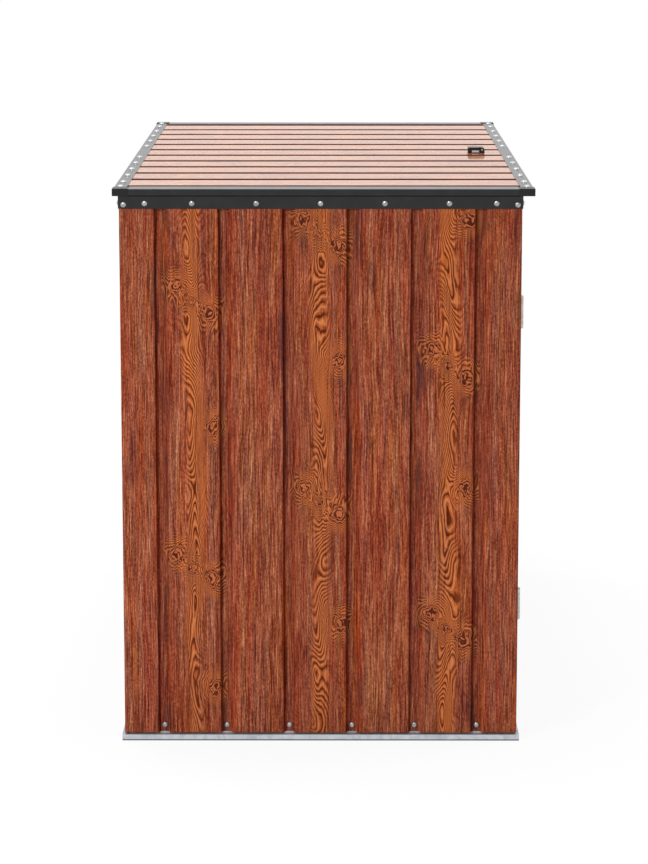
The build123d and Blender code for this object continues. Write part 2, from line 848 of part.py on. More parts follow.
def edge_outline(outer, top_width, foot):
    """Middle line of a lid edge rail: a top strip, a face at the outer plane and a foot."""
    sign = math.copysign(1.0, outer)
    face = outer - sign * lid_rail_sheet / 2
    high = lid_rail_top - lid_rail_sheet / 2
    low = lid_rail_bottom + lid_rail_sheet / 2
    return [(outer - sign * top_width, high), (face, high), (face, low), (outer - sign * foot, low)]


for name, end in (("front", -1), ("back", 1)):
    with BuildPart() as lid_rail:
        with BuildSketch(Plane.YZ):
            with BuildLine():
                strip_line = edge_outline(end * lid_rail_y, lid_strip_width, lid_rail_foot)
                FilletPolyline(*strip_line, radius=lid_rail_bend)
            trace(line_width=lid_rail_sheet)
        extrude(amount=cap_inner_x, both=True)
        screw_places = [(side * x, end * screw_y, lid_rail_top) for x in screw_x for side in (-1, 1)]
        drill(screw_places, "top", lid_screw_radius, 2 * lid_rail_sheet)
        if name == "back":
            drill(leaf_hole_points(lid_leaf_planes), "top", rivet_radius, 2 * lid_rail_sheet)
    write(lid_rail, f"lid_rail_{name}")

for name, side in SIDES:
    with BuildPart() as lid_rail:
        with BuildSketch(Plane.XZ):
            with BuildLine():
                strip_line = edge_outline(side * lid_rail_x, lid_side_width, lid_rail_foot)
                FilletPolyline(*strip_line, radius=lid_rail_bend)
            trace(line_width=lid_rail_sheet)
        extrude(amount=cap_inner_y, both=True)
    write(lid_rail, f"lid_rail_{name}")

with BuildPart() as lid_caps:
    corners = [(side, end) for side in (-1, 1) for end in (-1, 1)]
    cap_x = (lid_half + cap_inner_x) / 2
    cap_y = (lid_depth / 2 + cap_inner_y) / 2
    with Locations(*[(side * cap_x, end * cap_y, (lid_top + cap_bottom) / 2) for side, end in corners]):
        Box(cap_length, cap_width, cap_height)
    fillet(lid_caps.edges(), cap_edge)
write(lid_caps, "lid_corner_caps")

# Cross braces under the lid, the rear one in line with the strut studs
brace_top = roof_under - brace_sheet / 2
brace_low = roof_under - lid_brace_height + brace_sheet / 2
with BuildPart() as lid_braces:
    for level in (lid_brace_front_level, lid_stud_y):
        half = lid_brace_width / 2
        with BuildSketch(Plane.YZ):
            with BuildLine():
                FilletPolyline(
                    (level - half - lid_brace_flange, brace_top),
                    (level - half, brace_top),
                    (level - half, brace_low),
                    (level + half, brace_low),
                    (level + half, brace_top),
                    (level + half + lid_brace_flange, brace_top),
                    radius=brace_bend,
                )
            trace(line_width=brace_sheet)
        extrude(amount=bracket_inner, both=True)
write(lid_braces, "lid_braces")

with BuildPart() as lid_seam_strip:
    with Locations((0, 0, roof_top - sheet - seam_strip_sheet / 2)):
        Box(seam_strip_width, 2 * panel_half_y, seam_strip_sheet)
write(lid_seam_strip, "lid_seam_strip")

with BuildPart() as lid_hinge_leaves:
    with Locations(*lid_leaf_planes):
        add(moving_leaf)
write(lid_hinge_leaves, "lid_hinge_leaves")

with BuildPart() as strut_lid_brackets:
    tab_y = lid_stud_y + (lid_brace_width + brace_sheet + bracket_sheet) / 2
    tab_low = roof_under - lid_brace_height + brace_bend
    tab_high = roof_under - brace_sheet - brace_bend
    plate_low = lid_stud_z - bracket_tail
    for side in (-1, 1):
        with Locations((side * plate_x, lid_stud_y, (plate_low + roof_under) / 2)):
            Box(bracket_sheet, bracket_width, roof_under - plate_low)
        with Locations((side * (bracket_inner - bracket_tab / 2), tab_y, (tab_low + tab_high) / 2)):
            Box(bracket_tab, bracket_sheet, tab_high - tab_low)
        stud(side, lid_stud_y, lid_stud_z)
write(strut_lid_brackets, "strut_lid_brackets")

with BuildPart() as lid_screw:
    domed_head(bolt_head_radius, bolt_head_rim, bolt_head_height)
    with Locations((0, 0, -lid_screw_length / 2)):
        Cylinder(lid_screw_radius, lid_screw_length)

lid_rivet = rivet(leaf_sheet + lid_rail_sheet, False)
with BuildPart() as lid_fasteners:
    for end in (-1, 1):
        with Locations(*[(side * x, end * screw_y, lid_rail_top) for x in screw_x for side in (-1, 1)]):
            add(lid_screw.part)
    with Locations(*turned(moved(leaf_hole_points(lid_leaf_planes), dz=lid_rail_sheet), "top")):
        add(lid_rivet)
write(lid_fasteners, "lid_fasteners")

# Gas struts, drawn along the line between their studs with the lid shut
cylinder_end = strut_closed - cylinder_end_room
for name, side in SIDES:
    along = (0, lid_stud_y - body_stud_y, lid_stud_z - body_stud_z)
    strut_plane = Plane((side * strut_x, body_stud_y, body_stud_z), x_dir=(1, 0, 0), z_dir=along)
    upward = (Align.CENTER, Align.CENTER, Align.MIN)
    with BuildPart(strut_plane) as strut_cylinder:
        Cylinder(eye_radius, eye_width, rotation=(0, 90, 0))
        with Locations((0, 0, neck_start)):
            Cylinder(neck_radius, cylinder_plug - neck_start, align=upward)
        with Locations((0, 0, eye_radius + neck_radius)):
            Cylinder(cylinder_radius, cylinder_end - eye_radius - neck_radius, align=upward)
        with Locations((0, 0, cylinder_plug)):
            bore_length = cylinder_end - cylinder_guide - cylinder_plug
            Cylinder(cylinder_radius - cylinder_wall, bore_length, align=upward, mode=Mode.SUBTRACT)
        with Locations((0, 0, cylinder_end)):
            Cylinder(strut_rod_radius + strut_rod_play, 3 * cylinder_guide, mode=Mode.SUBTRACT)
        Cylinder(stud_radius + stud_play, 2 * eye_width, rotation=(0, 90, 0), mode=Mode.SUBTRACT)
    write(strut_cylinder, f"strut_{name}_cylinder")
    with BuildPart(strut_plane) as strut_rod:
        with Locations((0, 0, strut_closed)):
            Cylinder(eye_radius, eye_width, rotation=(0, 90, 0))
        with Locations((0, 0, strut_rod_end_room)):
            Cylinder(strut_rod_radius, strut_closed - neck_start - strut_rod_end_room, align=upward)
            Cylinder(piston_radius, piston_length, align=upward)
        with Locations((0, 0, strut_closed)):
            Cylinder(stud_radius + stud_play, 2 * eye_width, rotation=(0, 90, 0), mode=Mode.SUBTRACT)
    write(strut_rod, f"strut_{name}_rod")

# Lid pull: a base on the middle flat with a flap that lifts from its rear end
pull_front = -lid_depth / 2 + pull_setback
pull_back = pull_front + pull_depth
pull_axis_y = pull_front + pull_knuckle_radius
pull_axis_z = roof_top + pull_plate + pull_setdown + pull_knuckle_radius
pull_half = pull_width / 2
lug_middle = pull_half - pull_side_knuckle / 2
with BuildPart() as lid_pull_base:
    with Locations((0, (pull_front + pull_back) / 2, roof_top + pull_plate / 2)):
        Box(pull_width, pull_depth, pull_plate)
    with Locations(*turned([(side * lug_middle, pull_axis_y, pull_axis_z) for side in (-1, 1)], "right")):
        Cylinder(pull_knuckle_radius, pull_side_knuckle)
    lug_height = pull_axis_z - roof_top
    with Locations(*[(side * lug_middle, pull_axis_y, roof_top + lug_height / 2) for side in (-1, 1)]):
        Box(pull_side_knuckle, 2 * pull_knuckle_radius, lug_height)
    with Locations(*turned([(0, pull_axis_y, pull_axis_z)], "right")):
        Cylinder(pull_pin_radius, 2 * pull_width, mode=Mode.SUBTRACT)
write(lid_pull_base, "lid_pull_base")

with BuildPart() as lid_pull_pin:
    with Locations(*turned([(0, pull_axis_y, pull_axis_z)], "right")):
        Cylinder(pull_pin_radius, pull_width + 2 * pull_pin_proud)
write(lid_pull_pin, "lid_pull_pin")

flap_top = pull_axis_z + pull_knuckle_radius
flap_low = flap_top - pull_flap_thick
flap_start = pull_axis_y + pull_knuckle_radius + pull_flap_play
leg_low = roof_top + pull_plate + pull_setdown
tongue = pull_width - 2 * (pull_side_knuckle + pull_side_play)
with BuildPart() as lid_pull_flap:
    with Locations((0, (flap_start + pull_back) / 2, (flap_top + flap_low) / 2)):
        Box(pull_width, pull_back - flap_start, pull_flap_thick)
    with Locations((0, pull_back - pull_flap_leg / 2, (flap_top + leg_low) / 2)):
        Box(pull_width, pull_flap_leg, flap_top - leg_low)
    rear_top = lid_pull_flap.edges().filter_by(Axis.X).group_by(Axis.Z)[-1].sort_by(Axis.Y)[-1]
    fillet(rear_top, pull_flap_round)
    with Locations((0, (pull_axis_y + flap_start) / 2, (flap_top + flap_low) / 2)):
        Box(tongue, flap_start - pull_axis_y, pull_flap_thick)
    with Locations(*turned([(0, pull_axis_y, pull_axis_z)], "right")):
        Cylinder(pull_knuckle_radius, tongue)
        Cylinder(pull_pin_radius + pin_clearance, 2 * pull_width, mode=Mode.SUBTRACT)
write(lid_pull_flap, "lid_pull_flap")

# Doors: ribbed skins folded back at the upright edges, on three channels
door_groove_room = door_width - door_lock_flat - groove_mouth / 2 - groove_edge_flat
door_groove_count = int(door_groove_room // groove_pitch) + 1
door_grooves = [door_inner + door_lock_flat + index * groove_pitch for index in range(door_groove_count)]
channel_levels = (door_bottom, (door_bottom + door_top - channel_height) / 2, door_top - channel_height)
handle_x = door_inner + handle_inset
handle_ends = [handle_level - handle_span / 2, handle_level + handle_span / 2]
handle_rivets = [
    (handle_x, end + step) for end in handle_ends for step in (-handle_rivet_offset, handle_rivet_offset)
]
plate_start = door_inner + latch_plate_start
plate_face = door_plane - latch_plate_sheet
plate_rivet_z = latch_plate_height / 2 - latch_loop_inset
latch_rivets = [
    (x, latch_level + step)
    for x in (plate_start + latch_loop_inset, plate_start + latch_plate_length - latch_loop_inset)
    for step in (-plate_rivet_z, plate_rivet_z)
]
keeper_rivet_x = plate_start + keeper_plate_length - latch_loop_inset
keeper_rivets = [(keeper_rivet_x, latch_level + step) for step in (-plate_rivet_z, plate_rivet_z)]
leaf_rivet = rivet(leaf_sheet + sheet, True)
foot_rivet = rivet(handle_foot_sheet + sheet, True)
plate_rivet = rivet(latch_plate_sheet + sheet, True)

for name, side in SIDES:
    lock_rivets = latch_rivets if name == "right" else keeper_rivets
    face_y = door_plane + sheet / 2
    inner_x = door_inner + sheet / 2
    outer_x = door_outer - sheet / 2
    outline = [(side * inner_x, door_back)]
    outline += [(side * x, face_y + depth) for x, depth in ribbed(inner_x, outer_x, door_grooves)]
    outline.append((side * outer_x, door_back))
    leaf_points = leaf_hole_points(door_hinge_planes(side, -side))
    with BuildPart() as door_skin:
        with BuildSketch(Plane.XY.offset(door_bottom)):
            with BuildLine():
                FilletPolyline(*outline, radius=sheet_bend)
            trace(line_width=sheet)
        extrude(amount=door_top - door_bottom)
        drill(leaf_points, "front", rivet_radius, 2 * sheet)
        rivet_places = [(side * x, door_plane, z) for x, z in handle_rivets + lock_rivets]
        drill(rivet_places, "front", rivet_radius, 2 * sheet)
    write(door_skin, f"door_{name}_skin")

    with BuildPart() as door_channels:
        for level in channel_levels:
            channel = channel_outline(
                door_plane + floor_inner, door_back, level, level + channel_height, channel_sheet
            )
            with BuildSketch(Plane.YZ.offset(side * (door_inner + sheet))):
                with BuildLine():
                    FilletPolyline(*channel, radius=brace_bend)
                trace(line_width=channel_sheet)
            extrude(amount=side * (door_width - 2 * sheet))
        if name == "left":
            with Locations((drop_x, drop_y, (door_top + door_bottom) / 2)):
                Cylinder(drop_rod + drop_clearance, 2 * door_top, mode=Mode.SUBTRACT)
    write(door_channels, f"door_{name}_channels")

    with BuildPart() as door_leaves:
        with Locations(*door_hinge_planes(side, -side)):
            add(moving_leaf)
    write(door_leaves, f"door_{name}_hinge_leaves")

    bow_x = side * handle_x
    seat_y = door_plane - handle_foot_sheet
    with BuildPart() as door_handle:
        with BuildLine() as bow:
            FilletPolyline(
                (bow_x, seat_y, handle_ends[0]),
                (bow_x, seat_y - handle_reach + handle_rod, handle_ends[0]),
                (bow_x, seat_y - handle_reach + handle_rod, handle_ends[1]),
                (bow_x, seat_y, handle_ends[1]),
                radius=handle_bend,
            )
        with BuildSketch(Plane(bow.line @ 0, z_dir=(0, -1, 0))):
            Circle(handle_rod)
        sweep(path=bow.line)
        with Locations(*[(bow_x, door_plane - handle_foot_sheet / 2, end) for end in handle_ends]):
            Box(handle_foot, handle_foot_sheet, handle_foot_height)
        rivet_places = [(side * x, door_plane, z) for x, z in handle_rivets]
        drill(rivet_places, "front", rivet_radius, 2 * handle_foot_sheet)
    write(door_handle, f"door_{name}_handle")

    with BuildPart() as door_rivets:
        with Locations(*turned(moved(leaf_points, dy=-leaf_sheet), "front")):
            add(leaf_rivet)
        with Locations(*turned([(side * x, seat_y, z) for x, z in handle_rivets], "front")):
            add(foot_rivet)
        with Locations(*turned([(side * x, plate_face, z) for x, z in lock_rivets], "front")):
            add(plate_rivet)
    write(door_rivets, f"door_{name}_rivets")

# Slide latch
latch_axis_y = plate_face - latch_rod_gap - latch_rod
loop_radius = latch_rod + latch_clearance + latch_loop_wall


def latch_plate(side, length):
    """The flat plate of the latch or its keeper, on a door face, into the part being built."""
    plate_y = door_plane - latch_plate_sheet / 2
    with Locations((side * (plate_start + length / 2), plate_y, latch_level)):
        Box(length, latch_plate_sheet, latch_plate_height)


near_loop = plate_start + latch_loop_inset
far_loop = plate_start + latch_plate_length - latch_loop_inset - latch_loop_length
with BuildPart() as latch_base:
    latch_plate(1, latch_plate_length)
    loop_depth = door_plane - latch_axis_y
    for loop_start in (near_loop, far_loop):
        loop_middle = loop_start + latch_loop_length / 2
        with Locations((loop_middle, latch_axis_y + loop_depth / 2, latch_level)):
            Box(latch_loop_length, loop_depth, 2 * loop_radius)
        with Locations(*turned([(loop_middle, latch_axis_y, latch_level)], "right")):
            Cylinder(loop_radius, latch_loop_length)
    with Locations(*turned([(0, latch_axis_y, latch_level)], "right")):
        Cylinder(latch_rod + latch_clearance, 4 * latch_plate_length, mode=Mode.SUBTRACT)
    drill([(x, door_plane, z) for x, z in latch_rivets], "front", rivet_radius, 2 * latch_plate_sheet)
write(latch_base, "latch_plate")

# The keeper is a square bridge over the path of the bolt
keeper_half = latch_rod + keeper_play
bridge_front = latch_axis_y - keeper_half - latch_loop_wall
with BuildPart() as latch_keeper:
    latch_plate(-1, keeper_plate_length)
    bridge_x = -(plate_start + keeper_loop_inset + latch_loop_length / 2)
    with Locations((bridge_x, (bridge_front + door_plane) / 2, latch_level)):
        Box(latch_loop_length, door_plane - bridge_front, 2 * (keeper_half + latch_loop_wall))
    with Locations((bridge_x, (bridge_front + latch_loop_wall + plate_face) / 2, latch_level)):
        bridge_room = plate_face - bridge_front - latch_loop_wall
        Box(2 * latch_loop_length, bridge_room, 2 * keeper_half, mode=Mode.SUBTRACT)
    drill([(-x, door_plane, z) for x, z in keeper_rivets], "front", rivet_radius, 2 * latch_plate_sheet)
write(latch_keeper, "latch_keeper")

latch_tip = door_inner + latch_tip_inset
latch_tail = plate_start + latch_plate_length + latch_rod_over
knob_x = plate_start + latch_knob_at
with BuildPart() as latch_bolt:
    with Locations(*turned([((latch_tip + latch_tail) / 2, latch_axis_y, latch_level)], "right")):
        Cylinder(latch_rod, latch_tail - latch_tip)
    fillet(latch_bolt.edges().filter_by(GeomType.CIRCLE), latch_rod / 4)
    with Locations((knob_x, latch_axis_y, latch_level - latch_knob_drop / 2)):
        Cylinder(latch_knob_radius, latch_knob_drop)
    with Locations((knob_x, latch_axis_y, latch_level - latch_knob_drop)):
        Sphere(latch_knob_radius)
write(latch_bolt, "latch_bolt")

# Bolts inside the left door: the upper one rises behind the front rail, the lower one drops into the sill
drop_rods = (
    ("drop_bolt_top", door_top - drop_tip - drop_length, drop_knob_up),
    ("drop_bolt_bottom", door_bottom + drop_tip, drop_length - drop_knob_up),
)
for name, low, knob_up in drop_rods:
    with BuildPart() as drop_bolt:
        with Locations((drop_x, drop_y, low + drop_length / 2)):
            Cylinder(drop_rod, drop_length)
        with Locations(*turned([(drop_x, drop_y + drop_knob_reach / 2, low + knob_up)], "back")):
            Cylinder(drop_knob_radius, drop_knob_reach)
    write(drop_bolt, name)
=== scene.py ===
"""Looks of a garden storage box: wood-grain printed sheet, black trim, a zinc base rail and domed bolts.

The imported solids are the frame. This script dresses them, models the bolts and screws in finer form, and
sets a plain studio with a camera at the left side of the box, so that the doors are at the view's right.
"""

import logging
import math
from dataclasses import dataclass
from enum import Enum

import bmesh
import bpy
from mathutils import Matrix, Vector


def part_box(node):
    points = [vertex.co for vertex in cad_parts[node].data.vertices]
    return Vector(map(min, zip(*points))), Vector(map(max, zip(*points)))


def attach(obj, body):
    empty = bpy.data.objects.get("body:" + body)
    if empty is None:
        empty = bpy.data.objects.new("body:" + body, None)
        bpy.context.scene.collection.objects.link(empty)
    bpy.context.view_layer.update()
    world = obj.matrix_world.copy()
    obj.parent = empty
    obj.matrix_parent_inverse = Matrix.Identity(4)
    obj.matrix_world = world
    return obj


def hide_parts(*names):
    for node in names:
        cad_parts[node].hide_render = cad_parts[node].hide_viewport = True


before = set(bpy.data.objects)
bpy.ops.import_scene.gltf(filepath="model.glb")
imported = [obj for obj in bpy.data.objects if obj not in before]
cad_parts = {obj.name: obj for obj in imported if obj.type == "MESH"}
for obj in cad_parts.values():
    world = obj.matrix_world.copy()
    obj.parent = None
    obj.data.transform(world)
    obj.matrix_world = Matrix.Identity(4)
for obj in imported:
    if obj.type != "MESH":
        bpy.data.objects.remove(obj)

LOG = logging.getLogger("garden_storage_box")

Colour = tuple[float, float, float]
Stops = tuple[tuple[float, Colour], ...]
Ends = tuple[float, float]
WHITE: Colour = (1.0, 1.0, 1.0)


def srgb(red: int, green: int, blue: int) -> Colour:
    """Turn a colour in screen values into linear ones, by the standard curve.

    Args:
        red: red from 0 to 255.
        green: green from 0 to 255.
        blue: blue from 0 to 255.

    Returns:
        The linear colour.
    """
    parts = []
    for part in (red, green, blue):
        share = part / 255
        parts.append(share / 12.92 if share <= 0.04045 else ((share + 0.055) / 1.055) ** 2.4)
    return parts[0], parts[1], parts[2]


class Axis(Enum):
    """The axes of the frame, by their place in a vector."""

    X = 0
    Y = 1
    Z = 2


class Lie(Enum):
    """How a ribbed sheet lies in the frame: the axes across its ribs, along them and through it."""

    SIDE = (Axis.Y, Axis.Z, Axis.X)
    FRONT_OR_BACK = (Axis.X, Axis.Z, Axis.Y)
    ROOF = (Axis.X, Axis.Y, Axis.Z)


class Value:
    """A socket whose number or colour changes over a surface, used in plain expressions."""

    def __init__(self, graph: "Graph", socket: bpy.types.NodeSocket) -> None:
        """Keep the graph that the socket belongs to."""
        self.graph = graph
        self.socket = socket

    def __add__(self, other: "Value | float") -> "Value":
        """Add."""
        return self.graph.math("ADD", self, other)

    def __radd__(self, other: float) -> "Value":
        """Add to a plain number."""
        return self.graph.math("ADD", other, self)

    def __sub__(self, other: "Value | float") -> "Value":
        """Subtract."""
        return self.graph.math("SUBTRACT", self, other)

    def __rsub__(self, other: float) -> "Value":
        """Subtract from a plain number."""
        return self.graph.math("SUBTRACT", other, self)

    def __mul__(self, other: "Value | float") -> "Value":
        """Multiply."""
        return self.graph.math("MULTIPLY", self, other)

    def __rmul__(self, other: float) -> "Value":
        """Multiply a plain number."""
        return self.graph.math("MULTIPLY", other, self)

    def __truediv__(self, other: "Value | float") -> "Value":
        """Divide."""
        return self.graph.math("DIVIDE", self, other)

    def size(self) -> "Value":
        """The number without its sign."""
        return self.graph.math("ABSOLUTE", self)

    def rounded(self) -> "Value":
        """The nearest whole number."""
        return self.graph.math("ROUND", self)

    def part(self) -> "Value":
        """What is left above the whole number below."""
        return self.graph.math("FRACT", self)

    def root(self) -> "Value":
        """The square root."""
        return self.graph.math("SQRT", self)

    def below(self, limit: float) -> "Value":
        """One where the number is under the limit, else nought."""
        return self.graph.math("LESS_THAN", self, limit)

    def above(self, limit: float) -> "Value":
        """One where the number is over the limit, else nought."""
        return self.graph.math("GREATER_THAN", self, limit)

    def most(self, other: "Value | float") -> "Value":
        """The larger of two numbers."""
        return self.graph.math("MAXIMUM", self, other)

    def ease(self, start: float, end: float) -> "Value":
        """Go smoothly from nought at the start to one at the end, which may be the lower number.

        Args:
            start: where the result is nought.
            end: where the result is one.

        Returns:
            The eased number.
        """
        low, high = min(start, end), max(start, end)
        first = 0.0 if start < end else 1.0
        ends = {"From Min": low, "From Max": high, "To Min": first, "To Max": 1.0 - first}
        settings = {"interpolation_type": "SMOOTHSTEP"}
        return self.graph.node("ShaderNodeMapRange", settings, {"Value": self, **ends})

    def band(self, rise: Ends, fall: Ends) -> "Value":
        """One within a band that eases in over the rise and out over the fall."""
        return self.ease(*rise) * self.ease(*fall)


class Graph:
    """The node tree of a material or of the world, with short ways to add what the finishes need."""

    def __init__(self, owner: bpy.types.Material | bpy.types.World) -> None:
        """Start with an empty tree.

        Args:
            owner: the material or the world that the tree belongs to.
        """
        self.owner = owner
        owner.use_nodes = True
        self.tree = owner.node_tree
        self.tree.nodes.clear()

    def node(self, kind: str, settings: dict, inputs: dict, output: int | str = 0) -> Value:
        """Add a node.

        Args:
            kind: the node's type.
            settings: the node's own settings, set first.
            inputs: a value or a link for each socket, by name, identifier or place.
            output: the name, identifier or place of the output wanted.

        Returns:
            The output.
        """
        node = self.tree.nodes.new(kind)
        for key, setting in settings.items():
            setattr(node, key, setting)
        for key, given in inputs.items():
            socket = self.socket(node.inputs, key)
            if isinstance(given, Value):
                self.tree.links.new(given.socket, socket)
            elif isinstance(given, tuple) and socket.type == "RGBA":
                socket.default_value = (*given, 1.0)
            else:
                socket.default_value = given
        return Value(self, self.socket(node.outputs, output))

    @staticmethod
    def socket(sockets: bpy.types.bpy_prop_collection, key: int | str) -> bpy.types.NodeSocket:
        """Find a socket.

        Args:
            sockets: the inputs or outputs of a node.
            key: the place, identifier or name of the socket wanted.

        Returns:
            The socket.
        """
        if isinstance(key, int):
            return sockets[key]
        return next(socket for socket in sockets if key in (socket.identifier, socket.name))

    def math(self, operation: str, *terms: Value | float) -> Value:
        """Add a Math node on the terms."""
        return self.node("ShaderNodeMath", {"operation": operation}, dict(enumerate(terms)))

    def place(self) -> tuple[Value, Value, Value]:
        """The three object coordinates."""
        return self.split(self.node("ShaderNodeTexCoord", {}, {}, "Object"))

    def facing(self) -> tuple[Value, Value, Value]:
        """The three parts of the surface's own normal."""
        return self.split(self.node("ShaderNodeTexCoord", {}, {}, "Normal"))

    def split(self, vector: Value) -> tuple[Value, Value, Value]:
        """Take a vector apart.

        Args:
            vector: the vector's output.

        Returns:
            Its three numbers.
        """
        first = self.node("ShaderNodeSeparateXYZ", {}, {0: vector})
        outputs = first.socket.node.outputs
        return first, Value(self, outputs[1]), Value(self, outputs[2])

    def noise(self, at: tuple, detail: float = 2.0, rough: float = 0.5, warp: float = 0.0) -> Value:
        """Smooth noise about nought, from minus to plus one half.

        Args:
            at: the three numbers that it is read at.
            detail: how many finer layers are added.
            rough: how strong the finer layers are.
            warp: how much the noise is bent by itself.

        Returns:
            The noise.
        """
        vector = self.node("ShaderNodeCombineXYZ", {}, dict(enumerate(at)))
        inputs = {"Vector": vector, "Scale": 1.0, "Detail": detail, "Roughness": rough, "Distortion": warp}
        return self.node("ShaderNodeTexNoise", {}, inputs) - 0.5

    def cells(self, at: tuple) -> Value:
        """A number that is the same within each cell of a crystal-like pattern.

        Args:
            at: the three numbers that it is read at.

        Returns:
            The number, from nought to one.
        """
        vector = self.node("ShaderNodeCombineXYZ", {}, dict(enumerate(at)))
        colour = self.node("ShaderNodeTexVoronoi", {}, {"Vector": vector, "Scale": 1.0}, "Color")
        return self.split(colour)[0]

    def ramp(self, factor: Value, stops: Stops) -> Value:
        """A colour ramp.

        Args:
            factor: what the ramp is read at.
            stops: places and colours along it.

        Returns:
            The colour.
        """
        colour = self.node("ShaderNodeValToRGB", {}, {0: factor})
        elements = colour.socket.node.color_ramp.elements
        while len(elements) < len(stops):
            elements.new(1.0)
        for element, (spot, shade) in zip(elements, stops):
            element.position = spot
            element.color = (*shade, 1.0)
        return colour

    def mix(self, factor: Value | float, first: Value | Colour, second: Value | Colour) -> Value:
        """Mix two colours, the second by the factor."""
        inputs = {"Factor_Float": factor, "A_Color": first, "B_Color": second}
        return self.node("ShaderNodeMix", {"data_type": "RGBA"}, inputs, "Result_Color")

    def tint(self, factor: Value, colour: Value, shade: Colour) -> Value:
        """Multiply a colour by a shade.

        Args:
            factor: how much of the shade shows.
            colour: the colour.
            shade: what it is multiplied by.

        Returns:
            The tinted colour.
        """
        inputs = {"Factor_Float": factor, "A_Color": colour, "B_Color": shade}
        settings = {"data_type": "RGBA", "blend_type": "MULTIPLY"}
        return self.node("ShaderNodeMix", settings, inputs, "Result_Color")

    def bump(self, height: Value, distance: float, strength: float) -> Value:
        """A bumped normal.

        Args:
            height: the height of the surface, about nought to one.
            distance: the real height of one, in metres.
            strength: how much of it shows.

        Returns:
            The normal.
        """
        inputs = {"Height": height, "Distance": distance, "Strength": strength}
        return self.node("ShaderNodeBump", {}, inputs)

    def shown(self) -> Value:
        """Tell what is seen, straight or in gloss or glass, from what only lights the object.

        Returns:
            One for camera, glossy and transmission rays, else nought.
        """
        rays = self.node("ShaderNodeLightPath", {}, {}, "Is Camera Ray")
        outputs = rays.socket.node.outputs
        for name in ("Is Glossy Ray", "Is Transmission Ray"):
            rays = rays.most(Value(self, outputs[name]))
        return rays

    def surface(self, inputs: dict) -> bpy.types.Material:
        """Finish the material with one Principled shader.

        Args:
            inputs: the shader's sockets.

        Returns:
            The material.
        """
        self.close(self.node("ShaderNodeBsdfPrincipled", {}, inputs), "ShaderNodeOutputMaterial")
        return self.owner

    def close(self, shader: Value, kind: str) -> None:
        """Lead a shader to an output of the given kind."""
        output = self.tree.nodes.new(kind)
        self.tree.links.new(shader.socket, output.inputs["Surface"])


def evenly(place: tuple[Value, ...], scale: float) -> tuple[Value, ...]:
    """The coordinates, all times one scale."""
    return tuple(part * scale for part in place)


@dataclass(frozen=True)
class Spot:
    """A point of a printed sheet, as the nodes of the print see it.

    Across and along follow the ribs, local is the distance from the middle of the flat, figured is one on
    flats with flame figure, lane is a number of the flat's own, and shift is how far the print is moved
    along the flat, in repeats.
    """

    across: Value
    along: Value
    local: Value
    figured: Value
    lane: Value
    shift: Value


@dataclass(frozen=True)
class Layer:
    """A layer of noise in the print: how close it lies across and along the ribs, and how fine it is."""

    across: float
    along: float
    lane: float = 0.0
    detail: float = 2.0
    rough: float = 0.5
    warp: float = 0.0

    def at(self, graph: Graph, across: Value, spot: Spot) -> Value:
        """Read the layer at a point.

        Args:
            graph: the material's graph.
            across: the coordinate across the ribs, straight or leaning.
            spot: the point of the sheet.

        Returns:
            The noise.
        """
        lane = spot.lane + self.lane if self.lane else spot.lane
        place = (across * self.across, spot.along * self.along, lane)
        return graph.noise(place, self.detail, self.rough, self.warp)


@dataclass(frozen=True)
class Knot:
    """A knot of the printed figure: its place across a flat and along one repeat of the print."""

    across: float
    turn: float
    radius: float


